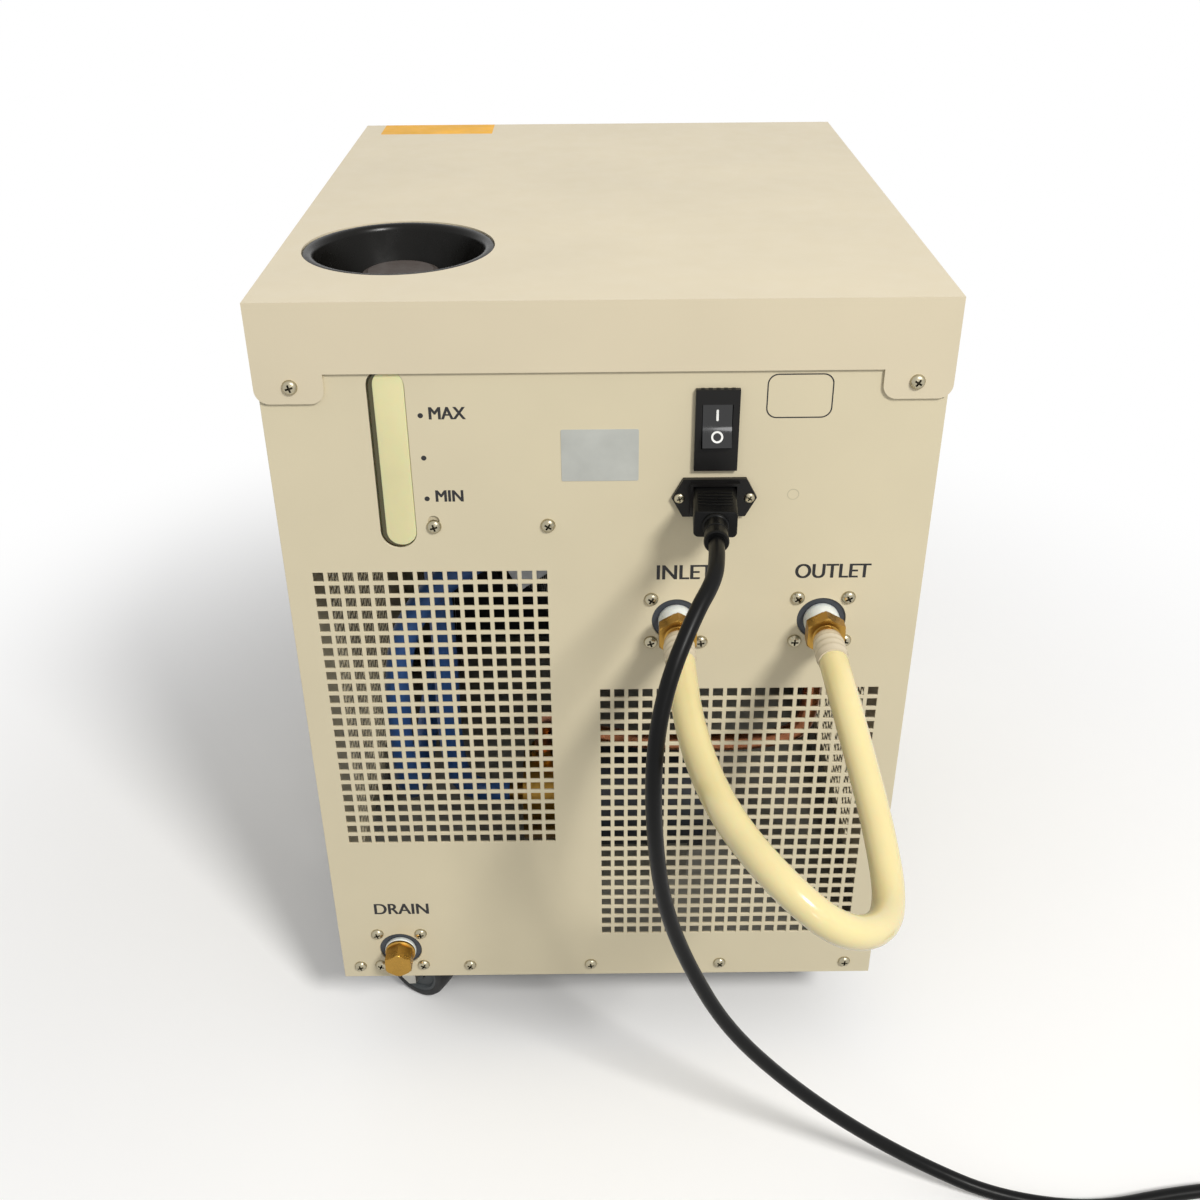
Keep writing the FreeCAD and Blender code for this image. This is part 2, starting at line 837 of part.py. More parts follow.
def hose_barb(name, x):
    """A turned brass fitting: thread, taped collar, hexagon and tail, bored through."""
    owner = new_body(name)
    bore = d.fitting_bore
    back = -(d.sheet + d.nipple_reach)
    collar = d.thread_radius + d.tape_thick
    turned(
        owner, "barb",
        (bore, back), (d.thread_radius, back), (d.thread_radius, -d.sheet), (collar, -d.sheet),
        (collar, d.tape_reach), (d.barb_neck, d.tape_reach), (d.barb_neck, d.barb_start),
        (d.barb_tail, d.barb_start), (d.barb_tail, fitting_reach), (bore, fitting_reach),
    )
    pad(owner, "hexagon", "XY_Plane", d.tape_reach, d.hex_reach, hexagon(0, 0, d.hex_flats))
    pocket(owner, "bore", "XY_Plane", d.tape_reach, d.hex_reach, disc(0, 0, bore))
    owner.Placement = Placement(Vector(), OUTWARD)
    bind(owner, "Placement.Base.x", x)
    bind(owner, "Placement.Base.z", port_height)
    return owner


def hose_barbs():
    """The two like fittings that take the outer hose."""
    barbs = [hose_barb(name + "_barb", x) for name, x, _ in ports if name != "drain"]
    return finish(group("hose_barbs", barbs))


def drain_plug():
    owner = new_body("drain_plug")
    back = -(d.sheet + d.port_plate_thick)
    collar = d.thread_radius + d.tape_thick
    turned(
        owner, "thread",
        (0, back), (d.thread_radius, back), (d.thread_radius, -d.sheet), (collar, -d.sheet),
        (collar, d.plug_neck_reach), (0, d.plug_neck_reach),
    )
    head = hexagon(0, 0, d.plug_flats)
    pad(owner, "head", "XY_Plane", d.plug_neck_reach, d.plug_reach, head)
    return finish(owner, drain_x, 0, d.drain_z, OUTWARD)


# power inlet and circuit breaker


def power_inlet():
    """An appliance inlet with a six-sided flange, a raised rim and an open socket."""
    owner = new_body("power_inlet")
    x = d.power_x
    z = power_z
    half = d.power_flange_width / 2
    flat = d.power_flange_flat / 2
    rise = d.power_flange_height / 2
    front = -d.power_flange_thick
    flange = outline(
        (x - half, z), (x - flat, z - rise), (x + flat, z - rise),
        (x + half, z), (x + flat, z + rise), (x - flat, z + rise),
    )
    pad(owner, "flange", "XZ_Plane", front, 0, flange)
    rim = oblong(x, z, d.power_rim_width, d.power_rim_height)
    pad(owner, "rim", "XZ_Plane", front - d.power_rim_thick, front, rim)
    inset = 2 * d.power_shell_inset
    shell = oblong(x, z, d.power_rim_width - inset, d.power_rim_height - inset)
    pad(owner, "shell", "XZ_Plane", 0, d.power_body_depth, shell)
    socket = oblong(x, z, d.socket_width, d.socket_height)
    pocket(owner, "socket", "XZ_Plane", front - d.power_rim_thick, d.socket_depth, socket)
    return finish(owner)


def breaker_housing():
    owner = new_body("breaker_housing")
    x = d.breaker_x
    z = breaker_z
    front = -d.bezel_thick
    pad(owner, "bezel", "XZ_Plane", front, 0, oblong(x, z, d.bezel_width, d.bezel_height))
    shell = oblong(x, z, d.breaker_body_width, d.breaker_body_height)
    pad(owner, "shell", "XZ_Plane", 0, d.breaker_body_depth, shell)
    window = oblong(
        x, rocker_z,
        d.rocker_width + 2 * d.rocker_gap, 2 * (d.rocker_half + d.rocker_swing),
    )
    pocket(owner, "window", "XZ_Plane", front, d.rocker_well, window)
    return finish(owner)


def breaker_rocker():
    """A rocker with a shallow valley between its halves, turned to where its upper half is pressed in."""
    owner = new_body("breaker_rocker")
    half = d.rocker_half
    profile = outline(
        (-d.rocker_tip, -half), (-d.rocker_crown, 0), (-d.rocker_tip, half),
        (0, half), (d.rocker_root, d.rocker_root_half), (d.rocker_root, -d.rocker_root_half), (0, -half),
    )
    pad(owner, "rocker", "YZ_Plane", -d.rocker_width / 2, d.rocker_width / 2, profile)
    tilt = Rotation(Vector(1, 0, 0), -ROCKER_REST_DEG)
    return finish(owner, d.breaker_x, 0, rocker_z, tilt)


def electrical_box():
    """A sheet box open towards the service panel, round the live parts."""
    owner = new_body("electrical_box")
    rear = d.sheet
    front = rear + d.box_depth
    left = d.power_x - d.box_width / 2
    right = left + d.box_width
    low = d.height - d.box_low_drop
    high = d.height - d.box_high_drop
    pad(owner, "walls", "XZ_Plane", rear, front, span(left, right, low, high))
    inside = span(left + d.sheet, right - d.sheet, low + d.sheet, high - d.sheet)
    pocket(owner, "hollow", "XZ_Plane", rear, front - d.sheet, inside)
    return finish(owner)


# screws


def heads(name, radius, thick, level, places):
    """Screw heads on the face at a level, as one node."""
    members = []
    for number, (x, z) in enumerate(places, 1):
        head = doc.addObject("Part::Prism", f"{name}_{number}")
        head.Placement = Placement(Vector(), OUTWARD)
        head.Polygon = SCREW_SIDES
        bind(head, "Circumradius", radius)
        bind(head, "Height", thick)
        bind(head, "Placement.Base.x", x)
        bind(head, "Placement.Base.y", level)
        bind(head, "Placement.Base.z", z)
        members.append(head)
    return finish(group(name, members))


def screws():
    wide = (d.screw_radius, d.screw_head)
    sides = (-1, 1)
    reach = half_width - d.cover_screw_inset
    cover = [(side * reach, lid_top - d.cover_screw_drop) for side in sides]
    heads("cover_screws", *wide, -lid_reach, cover)
    row = [(share * half_width, d.panel_screw_z) for share in PANEL_SCREW_SHARES]
    heads("panel_screws", *wide, 0, row)
    ends = (shelf_leg_left + d.bracket_screw_inset, shelf_right - d.bracket_screw_end)
    bracket = [(x, tank_low + d.bracket_screw_rise) for x in ends]
    heads("bracket_screws", *wide, 0, bracket)
    half = d.port_spacing / 2
    square = [(x + i * half, z + k * half) for _, x, z in ports for i in sides for k in sides]
    heads("port_screws", *wide, 0, square)
    reach = d.power_screw_spacing / 2
    power = [(d.power_x + side * reach, power_z) for side in sides]
    small = (d.small_screw_radius, d.small_screw_head)
    heads("power_inlet_screws", *small, -d.power_flange_thick, power)


# casters


def caster_place(side, end):
    x = side * (half_width - d.caster_inset_x)
    y = d.caster_inset_y if end == "rear" else d.depth - d.caster_inset_y
    return x, y


def caster_plates():
    """The four fixed plates with their bearing races."""
    members = []
    for name, side, end, _ in CASTERS:
        x, y = caster_place(side, end)
        half_x = d.caster_plate_width / 2
        half_y = d.caster_plate_length / 2
        low = d.pan_lift - d.caster_plate_thick
        plate = block(name + "_plate", x - half_x, x + half_x, y - half_y, y + half_y, low, d.pan_lift)
        race = rod(name + "_race", d.race_radius, d.race_thick, x, y, low - d.race_thick)
        members.append(fused(name + "_caster_plate", plate, race))
    return finish(group("caster_plates", members))


def caster_fork(name, side, end, heading):
    """A pressed fork with its axle bolt. It trails along its own X axis."""
    owner = new_body("caster_fork_" + name)
    half = d.fork_half_length
    axle = -axle_drop
    crown = -crown_drop
    profile = outline(
        (-half, crown), (half, crown), (d.trail + d.axle_head, axle + d.axle_head),
        (d.trail + d.axle_head / 2, axle - d.axle_head), (d.trail - d.axle_head / 2, axle - d.axle_head),
        (-half, crown - 2 * d.fork_crown),
    )
    half_fork = d.fork_width / 2
    pad(owner, "fork", "XZ_Plane", -half_fork, half_fork, profile)
    room = half_fork - d.fork_steel
    low = axle - 2 * d.axle_head
    inside = span(-2 * half, 2 * half + d.trail, low, crown - d.fork_crown)
    pocket(owner, "wheel_room", "XZ_Plane", -room, room, inside)
    pad(owner, "axle", "XZ_Plane", -half_fork, half_fork, disc(d.trail, axle, d.axle_radius))
    for label, start, stop in (
        ("head", -half_fork - d.axle_head_thick, -half_fork),
        ("nut", half_fork, half_fork + d.axle_head_thick),
    ):
        pad(owner, label, "XZ_Plane", start, stop, hexagon(d.trail, axle, 2 * d.axle_head))
    x, y = caster_place(side, end)
    return finish(owner, x, y, d.pan_lift, Rotation(Vector(0, 0, 1), heading))


def caster_wheel(name, side, end, heading):
    owner = new_body("caster_wheel_" + name)
    half = d.wheel_width / 2
    bore = d.wheel_bore
    turned(
        owner, "wheel",
        (bore, -half), (d.wheel_radius, -half), (d.wheel_radius, half), (bore, half),
    )
    x, y = caster_place(side, end)
    along = math.radians(heading)
    turn = Rotation(Vector(0, 0, 1), heading) * Rotation(Vector(1, 0, 0), 90)
    x = x + d.trail * math.cos(along)
    y = y + d.trail * math.sin(along)
    return finish(owner, x, y, d.wheel_radius - d.ground_gap, turn)


# radiator and fan


def radiator_core():
    """A finned block with upright grooves on the fan side."""
    owner = new_body("radiator_core")
    half = d.core_width / 2
    front = d.radiator_rear + d.radiator_thick
    face = span(-half, half, core_low, d.radiator_high)
    pad(owner, "core", "XZ_Plane", d.radiator_rear, front, face)
    middle = (RADIATOR_GROOVES - 1) / 2
    left = -middle * d.fin_pitch
    groove = oblong(left, (core_low + d.radiator_high) / 2, d.fin_groove, d.radiator_high - core_low)
    rear = d.radiator_rear
    first = pocket(owner, "groove", "XZ_Plane", rear, rear + d.fin_depth, groove)
    line_of(owner, first, "H_Axis", RADIATOR_GROOVES, d.fin_pitch)
    return finish(owner)


def radiator_header(name, side):
    """A side tank of the radiator, which stands on the base pan."""
    inner = side * d.core_width / 2
    outer = side * (d.core_width / 2 + d.header_width)
    low, high = (outer, inner) if side < 0 else (inner, outer)
    front = d.radiator_rear + d.radiator_thick
    item = block(name + "_block", low, high, d.radiator_rear, front, pan_floor, d.radiator_high)
    return finish(group(name, [item]))


def fan_shroud():
    """A plate against the radiator with a round duct for the fan."""
    owner = new_body("fan_shroud")
    half = d.core_width / 2 - d.shroud_inset
    plate = span(-half, half, core_low, d.radiator_high)
    pad(owner, "plate", "XZ_Plane", shroud_rear, d.radiator_rear, plate)
    ring = disc(0, fan_z, d.shroud_hole + d.shroud_ring)
    pad(owner, "ring", "XZ_Plane", shroud_rear - d.shroud_reach, shroud_rear, ring)
    hole = disc(0, fan_z, d.shroud_hole)
    pocket(owner, "duct", "XZ_Plane", shroud_rear - d.shroud_reach, d.radiator_rear, hole)
    return finish(owner)


def fan_rotor():
    """A hub with pitched blades and its shaft, turning about its own Z axis."""
    owner = new_body("fan_rotor")
    thick = d.rotor_thick
    turned(
        owner, "hub",
        (0, -thick), (d.rotor_hub, -thick), (d.rotor_hub, 0), (d.fan_shaft, 0),
        (d.fan_shaft, d.fan_motor_length / 2), (0, d.fan_motor_length / 2),
    )
    doc.recompute()
    blade = owner.newObject("PartDesign::AdditiveBox", "blade")
    bind(blade, "Length", d.rotor_radius - d.rotor_hub + d.blade_root)
    bind(blade, "Width", d.blade_width)
    bind(blade, "Height", d.sheet)
    blade.Placement = Placement(Vector(), Rotation(Vector(1, 0, 0), BLADE_PITCH_DEG))
    bind(blade, "Placement.Base.x", d.rotor_hub - d.blade_root)
    lean = math.radians(BLADE_PITCH_DEG)
    bind(blade, "Placement.Base.y", -d.blade_width / 2 * math.cos(lean))
    bind(blade, "Placement.Base.z", -thick / 2 - d.blade_width / 2 * math.sin(lean))
    ring_of_blades = owner.newObject("PartDesign::PolarPattern", "blades")
    ring_of_blades.Originals = [blade]
    ring_of_blades.Axis = (origin_plane(owner, "Z_Axis"), [""])
    ring_of_blades.Angle = 360
    ring_of_blades.Occurrences = FAN_BLADES
    owner.Tip = ring_of_blades
    return finish(owner, 0, rotor_rear, fan_z, OUTWARD)


def fan_motor():
    owner = new_body("fan_motor")
    bore = d.fan_shaft + d.fan_shaft_gap
    depth = d.fan_motor_length / 2 + d.fan_shaft_room
    length = d.fan_motor_length
    turned(
        owner, "can",
        (bore, 0), (d.fan_motor_radius, 0), (d.fan_motor_radius, length), (0, length),
        (0, depth), (bore, depth),
    )
    return finish(owner, 0, motor_front, fan_z, OUTWARD)


def fan_bracket():
    """A strap across the shroud that carries the fan motor."""
    owner = new_body("fan_bracket")
    reach = d.shroud_hole + d.shroud_ring + d.fan_bar_seat
    rear = motor_rear - d.fan_bar_thick
    thick = d.fan_bar_thick
    strap = outline(
        (-reach, rear), (reach, rear), (reach, shroud_rear), (reach - thick, shroud_rear),
        (reach - thick, motor_rear), (thick - reach, motor_rear), (thick - reach, shroud_rear),
        (-reach, shroud_rear),
    )
    half = d.fan_bar_height / 2
    pad(owner, "strap", "XY_Plane", fan_z - half, fan_z + half, strap)
    return finish(owner)


# pump


def pump_motor():
    item = rod(
        "pump_motor_can", d.pump_motor_radius, d.pump_motor_length,
        pump_head_right, d.pump_y, d.pump_z, RIGHTWARD,
    )
    return finish(group("pump_motor", [item]))


def pump_head():
    """A volute with an axial suction port and an upright discharge port."""
    owner = new_body("pump_head")
    y = d.pump_y
    z = d.pump_z
    left = d.pump_left
    pad(owner, "volute", "YZ_Plane", left, pump_head_right, disc(y, z, d.pump_head_radius))
    pad(owner, "suction", "YZ_Plane", left - d.pump_nipple, left, disc(y, z, d.pump_port_radius))
    middle = (left + pump_head_right) / 2
    top = z + d.pump_port_reach
    pad(owner, "discharge", "XY_Plane", z, top, disc(middle, y, d.pump_port_radius))
    return finish(owner)


def pump_foot():
    """A saddle that carries the motor on the base pan."""
    left = pump_head_right + (d.pump_motor_length - d.pump_foot_length) / 2
    right = left + d.pump_foot_length
    rear = d.pump_y - d.pump_foot_width / 2
    front = d.pump_y + d.pump_foot_width / 2
    saddle = block("pump_saddle", left, right, rear, front, pan_floor, d.pump_z)
    seat = rod(
        "pump_seat", d.pump_motor_radius, d.pump_motor_length,
        pump_head_right, d.pump_y, d.pump_z, RIGHTWARD,
    )
    return finish(cut("pump_foot", saddle, seat))


# hoses, pipe and cord


def corner_radius(before, corner, after):
    """The largest arc that 0.45 of the shorter run allows at a corner, and the turn there."""
    arriving = corner - before
    leaving = after - corner
    turn = arriving.getAngle(leaving)
    shorter = min(arriving.Length, leaving.Length)
    return 0.45 * shorter / math.tan(turn / 2), turn


def route(points):
    """Straight runs joined by tangent arcs."""
    edges = []
    start = points[0]
    radii = []
    for before, corner, after in zip(points, points[1:], points[2:]):
        radius, turn = corner_radius(before, corner, after)
        radii.append(radius)
        reach = radius * math.tan(turn / 2)
        back = (before - corner).normalize()
        ahead = (after - corner).normalize()
        entry = corner + back * reach
        leave = corner + ahead * reach
        inward = (back + ahead).normalize()
        middle = corner + inward * (radius / math.cos(turn / 2) - radius)
        edges.append(Part.LineSegment(start, entry).toShape())
        edges.append(Part.Arc(entry, middle, leave).toShape())
        start = leave
    edges.append(Part.LineSegment(start, points[-1]).toShape())
    return Part.Wire(edges), radii


def tube(name, points, radius):
    """A round tube along a route, checked against its section times its length."""
    path, radii = route(points)
    heading = points[1] - points[0]
    ring = Part.Wire(Part.Circle(points[0], heading, radius).toShape())
    solid = path.makePipeShell([ring], True, True)
    expected = math.pi * radius**2 * path.Length
    if abs(solid.Volume - expected) > 0.01 * expected:
        raise RuntimeError(f"{name} has a wrong volume")
    listed = ", ".join(f"{item:.0f}" for item in radii)
    print(f"{name}: length {path.Length:.0f} mm, bend radii {listed} mm")
    item = doc.addObject("Part::Feature", name)
    item.Shape = solid
    return finish(item)


def elbowed(name, points, radius):
    """A pipe of straight lengths that meet at mitred elbows."""
    path = Part.makePolygon(points)
    ring = Part.Wire(Part.Circle(points[0], points[1] - points[0], radius).toShape())
    solid = path.makePipeShell([ring], True, False, 1)
    expected = math.pi * radius**2 * path.Length
    if abs(solid.Volume - expected) > 0.01 * expected:
        raise RuntimeError(f"{name} has a wrong volume")
    item = doc.addObject("Part::Feature", name)
    item.Shape = solid
    return finish(item)


def spot(x, y, z):
    """A point of a route, from sizes or plain numbers."""
    return Vector(sized(x).value, sized(y).value, sized(z).value)


def hose_loop():
    """The clear hose that joins the two ports outside the cabinet."""
    level = port_height
    start = -d.barb_start
    points = [
        spot(outlet_x, start, level),
        spot(outlet_x, start - 36, level + 0.2),
        spot(135.8, -98, level - 16.6),
        spot(143.4, -136.3, level - 43.2),
        spot(144.6, -176.5, level - 59.7),
        spot(132.4, -208, level - 51.1),
        spot(107.9, -225.8, level - 34),
        spot(80.7, -215.1, level - 13.3),
        spot(60.6, -177.7, level - 9.1),
        spot(49.7, -137, level - 7.6),
        spot(43.7, -98.7, level - 1.3),
        spot(d.inlet_x, start - 36, level + 0.4),
        spot(d.inlet_x, start, level),
    ]
    return tube("hose_loop", points, d.hose_radius.value)


def return_hose():
    """The inner hose from the inlet port to the foot of the radiator."""
    back = d.sheet + d.nipple_reach
    lane = d.hose_lane - half_width
    header = -(d.core_width + d.header_width) / 2
    foot = d.radiator_low + 15
    points = [
        spot(d.inlet_x, back, port_height),
        spot(d.inlet_x, back + 26, port_height),
        spot(-20, 74, port_height + 22),
        spot(-84, 76, port_height + 6),
        spot(lane + 13, 76, port_height - 42),
        spot(lane + 1, 78, 190),
        spot(lane, 84, 120),
        spot(lane, 118, 72),
        spot(lane, 190, foot),
        spot(header, 300, foot),
        spot(header, d.radiator_rear, foot),
    ]
    return elbowed("return_hose", points, d.inner_hose_radius.value)


def suction_hose():
    """The inner hose from the tank down to the pump."""
    below = tank_low - d.sheet
    points = [
        spot(tank_left + 50, d.pump_y, below),
        spot(tank_left + 50, d.pump_y, 270),
        spot(tank_left + 52, d.pump_y + 1, 190),
        spot(tank_left + 50, d.pump_y, 112),
        spot(tank_left + 58, d.pump_y, d.pump_z),
        spot(d.pump_left - d.pump_nipple, d.pump_y, d.pump_z),
    ]
    return elbowed("suction_hose", points, d.inner_hose_radius.value)


def outlet_pipe():
    """The copper pipe from the pump to the outlet port."""
    middle = (d.pump_left + pump_head_right) / 2
    back = d.sheet + d.nipple_reach
    points = [
        spot(middle, d.pump_y, d.pump_z + d.pump_port_reach),
        spot(middle, d.pump_y, 144),
        spot(middle + 40, d.pump_y - 50, 150),
        spot(outlet_x, d.pump_y - 56, 150),
        spot(outlet_x + 16, d.pump_y - 58, 185),
        spot(outlet_x, back + 40, port_height),
        spot(outlet_x, back, port_height),
    ]
    return elbowed("outlet_pipe", points, d.pipe_radius.value)


def appliance_plug():
    owner = new_body("appliance_plug")
    face = oblong(0, 0, d.plug_width, d.plug_height)
    pad(owner, "shell", "XY_Plane", -d.plug_nose, d.plug_length, face)
    tip = d.plug_length + d.boot_length
    pad(owner, "boot", "XY_Plane", d.plug_length, tip, disc(0, 0, d.boot_radius))
    return finish(owner, d.power_x, 0, power_z, OUTWARD)


def mains_cord():
    tip = -(d.plug_length + d.boot_length)
    floor = d.cord_radius - d.ground_gap
    lane = d.coil_y - d.coil_outer + d.cord_radius
    points = [
        spot(d.power_x, tip, power_z),
        spot(d.power_x, tip - 14, power_z),
        spot(59.3, -88.6, 378.6),
        spot(44.8, -107.8, 370.6),
        spot(29.6, -130.8, 343.3),
        spot(22.9, -142.7, 307.1),
        spot(24, -143.9, 255.4),
        spot(30.5, -136.4, 198.3),
        spot(46.1, -129.6, 144.1),
        spot(71.2, -125.9, 87),
        spot(109.4, -122.3, 35.3),
        spot(156.3, -121, -12.1),
        spot(205.3, -126.2, -45),
        spot(254.4, -139.1, floor + 0.3),
        spot(314.4, -149, floor),
        spot(373.2, -137.5, floor + 0.1),
        spot(430.5, -132.5, floor),
        spot(d.coil_x - 8, lane, floor),
    ]
    return tube("mains_cord", points, d.cord_radius.value)


def cord_coil():
    """The outer shape of the wound cord on the floor."""
    owner = new_body("cord_coil")
    turned(
        owner, "coil",
        (d.coil_inner, 0), (d.coil_outer, 0), (d.coil_outer, d.coil_height), (d.coil_inner, d.coil_height),
    )
    return finish(owner, d.coil_x, d.coil_y, -d.ground_gap)


def mains_plug():
    """A three-pin plug that lies beside the coil, where the cord leaves it."""
    owner = new_body("mains_plug")
    length = d.mains_plug_length
    high = d.mains_plug_height
    pad(owner, "shell", "YZ_Plane", 0, length, oblong(0, high / 2, d.mains_plug_width, high))
    boot = disc(0, high / 2, d.boot_radius)
    pad(owner, "boot", "YZ_Plane", -d.mains_boot_length, 0, boot)
    for name, side in (("left_blade", -1), ("right_blade", 1)):
        blade = oblong(side * d.blade_spacing / 2, high / 2 + d.blade_rise, d.blade_thick, d.blade_height)
        pad(owner, name, "YZ_Plane", length, length + d.blade_length, blade)
    pin = disc(0, high / 2 - d.earth_pin_drop, d.earth_pin_radius)
    pad(owner, "earth_pin", "YZ_Plane", length, length + d.blade_length, pin)
    x = d.coil_x + d.coil_outer - d.cord_radius
    y = d.coil_y + d.coil_tail + d.mains_boot_length
    return finish(owner, x, y, -d.ground_gap, Rotation(Vector(0, 0, 1), 90))


def build():
    rear_panel()
    side_panel("side_panel_left", -1)
    side_panel("side_panel_right", 1)
    front_panel()
    base_pan()
    top_cover()
    filler_well()
    filler_cap()
    reservoir()
    reservoir_bracket()
    port_plates()
    hose_barbs()
    drain_plug()
    power_inlet()
    breaker_housing()
    breaker_rocker()
    electrical_box()
    screws()
    caster_plates()
    for caster in CASTERS:
        caster_fork(*caster)
        caster_wheel(*caster)
    radiator_core()
    radiator_header("radiator_header_left", -1)
    radiator_header("radiator_header_right", 1)
    fan_shroud()
    fan_rotor()
    fan_motor()
    fan_bracket()
    pump_motor()
    pump_head()
    pump_foot()
    hose_loop()
    return_hose()
    suction_hose()
    outlet_pipe()
    appliance_plug()
    mains_cord()
    cord_coil()
    mains_plug()


def check():
    """Stop if any object failed or any piece has no sound shape."""
    for item in doc.Objects:
        if "Invalid" in item.State or "Error" in item.State:
            raise RuntimeError(f"{item.Name} failed: {item.State}")
    for item in pieces:
        if item.Shape.isNull() or not item.Shape.isValid() or item.Shape.Volume <= 0:
            raise RuntimeError(f"{item.Label} has no sound shape")


build()
doc.recompute()
check()
os.makedirs("parts", exist_ok=True)
for piece in pieces:
    piece.Shape.exportStep(f"parts/{piece.Label}.step")
print(f"{len(pieces)} pieces written")
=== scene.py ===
import math

import bmesh
import bpy
from mathutils import Matrix, Vector


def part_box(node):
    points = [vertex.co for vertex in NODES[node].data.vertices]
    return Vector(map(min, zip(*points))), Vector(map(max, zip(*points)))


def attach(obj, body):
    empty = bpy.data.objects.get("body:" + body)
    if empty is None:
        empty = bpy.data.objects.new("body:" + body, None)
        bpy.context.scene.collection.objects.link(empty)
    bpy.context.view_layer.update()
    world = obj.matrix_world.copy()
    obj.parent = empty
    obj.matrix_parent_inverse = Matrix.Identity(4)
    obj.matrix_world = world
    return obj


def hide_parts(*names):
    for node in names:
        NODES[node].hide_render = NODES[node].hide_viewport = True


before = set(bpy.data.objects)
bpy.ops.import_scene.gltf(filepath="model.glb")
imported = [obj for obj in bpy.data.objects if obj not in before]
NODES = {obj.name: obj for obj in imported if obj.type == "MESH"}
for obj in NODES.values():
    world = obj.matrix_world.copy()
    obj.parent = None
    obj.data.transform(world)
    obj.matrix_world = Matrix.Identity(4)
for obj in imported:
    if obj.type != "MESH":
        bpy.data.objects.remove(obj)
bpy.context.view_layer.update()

MM = 0.001

# The service panel gives the cabinet's own places: X from its middle, Y from its outer face and
# Z from its lower edge. They are written in millimetres, and at() turns them into the row frame.
PANEL_LOW, PANEL_HIGH = (Vector(corner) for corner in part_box("rear_panel"))
PANEL_WIDTH = (PANEL_HIGH.x - PANEL_LOW.x) / MM
PANEL_HEIGHT = (PANEL_HIGH.z - PANEL_LOW.z) / MM
SHEET = (PANEL_HIGH.y - PANEL_LOW.y) / MM
FLOOR = -PANEL_LOW.z / MM
LID_TOP = (Vector(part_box("top_cover")[1]).z - PANEL_LOW.z) / MM
LID_UNDER = LID_TOP - SHEET
DEPTH = (Vector(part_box("front_panel")[1]).y - PANEL_LOW.y) / MM

# places that several pieces share
PORTS = {"inlet": (43.0, 299.8), "outlet": (130.8, 299.8), "drain": (-146.6, 26.7)}
WELL = (-120.4, 102.0)
WINDOW_X = -119.5
WINDOW = (351.5, 462.0, 21.0)
STRIP = (353.2, 461.0, 17.4)
STRIP_SHIFT = 1.6
STRIP_BACK = 7.0
KEYHOLE = (-98.7, 368.9)
BREAKER = (62.6, 424.8)
ROCKER_Z = 427.2
POWER = (62.7, 383.5)
HOLE_PITCH = 8.83
HOLE_SIDE = 6.35


def at(x, y, z):
    return Vector((x * MM, PANEL_LOW.y + y * MM, PANEL_LOW.z + z * MM))


def outward(x, z, y=0.0):
    """A place on the service panel whose own Z axis points away from the cabinet."""
    return Matrix.Translation(at(x, y, z)) @ Matrix.Rotation(math.radians(90), 4, "X")


def upright(x, y, z):
    return Matrix.Translation(at(x, y, z))


# materials


class Shader:
    """A material with its Principled shader and a way to add nodes that feed it."""

    def __init__(self, name, **settings):
        self.material = bpy.data.materials.new(name)
        self.material.use_nodes = True
        self.nodes = self.material.node_tree.nodes
        self.links = self.material.node_tree.links
        self.surface = self.nodes["Principled BSDF"]
        for key, value in settings.items():
            self.surface.inputs[key.replace("_", " ")].default_value = value
        self.place = self.nodes.new("ShaderNodeTexCoord").outputs["Object"]

    def node(self, kind, **settings):
        made = self.nodes.new(kind)
        for key, value in settings.items():
            made.inputs[key.replace("_", " ")].default_value = value
        return made

    def noise(self, scale, detail=4.0, roughness=0.55, stretch=None):
        texture = self.node("ShaderNodeTexNoise", Scale=scale, Detail=detail, Roughness=roughness)
        self.links.new(self.stretched(stretch), texture.inputs["Vector"])
        return texture.outputs["Fac"]

    def stretched(self, stretch):
        if stretch is None:
            return self.place
        mapping = self.node("ShaderNodeMapping", Scale=stretch)
        self.links.new(self.place, mapping.inputs["Vector"])
        return mapping.outputs["Vector"]

    def ramp(self, source, low, high, start=0.3, end=0.7):
        """Turns a texture into values or colours between two ends."""
        made = self.nodes.new("ShaderNodeValToRGB")
        made.color_ramp.elements[0].position = start
        made.color_ramp.elements[1].position = end
        made.color_ramp.elements[0].color = low if len(low) == 4 else (*low, 1.0)
        made.color_ramp.elements[1].color = high if len(high) == 4 else (*high, 1.0)
        self.links.new(source, made.inputs["Fac"])
        return made.outputs["Color"]

    def colour(self, source, low, high, start=0.3, end=0.7):
        self.links.new(self.ramp(source, low, high, start, end), self.surface.inputs["Base Color"])

    def roughness(self, source, low, high, start=0.3, end=0.7):
        shade = self.ramp(source, (low,) * 3, (high,) * 3, start, end)
        self.links.new(shade, self.surface.inputs["Roughness"])

    def bump(self, source, strength, distance):
        made = self.node("ShaderNodeBump", Strength=strength, Distance=distance)
        self.links.new(source, made.inputs["Height"])
        self.links.new(made.outputs["Normal"], self.surface.inputs["Normal"])


def linear(red, green, blue):
    """An sRGB colour, each part from 0 to 255, as linear light."""
    parts = (value / 255 for value in (red, green, blue))
    return tuple(p / 12.92 if p <= 0.04045 else ((p + 0.055) / 1.055) ** 2.4 for p in parts)


def shade(colour, factor):
    return tuple(part * factor for part in colour)


def powder_coat(name, colour):
    """Baked paint with a fine orange peel and a little unevenness in tone."""
    made = Shader(name)
    made.colour(made.noise(9.0, 3.0), shade(colour, 0.965), shade(colour, 1.02))
    made.roughness(made.noise(60.0, 4.0), 0.42, 0.54)
    made.bump(made.noise(900.0, 2.0), 0.16, 0.00015)
    return made.material


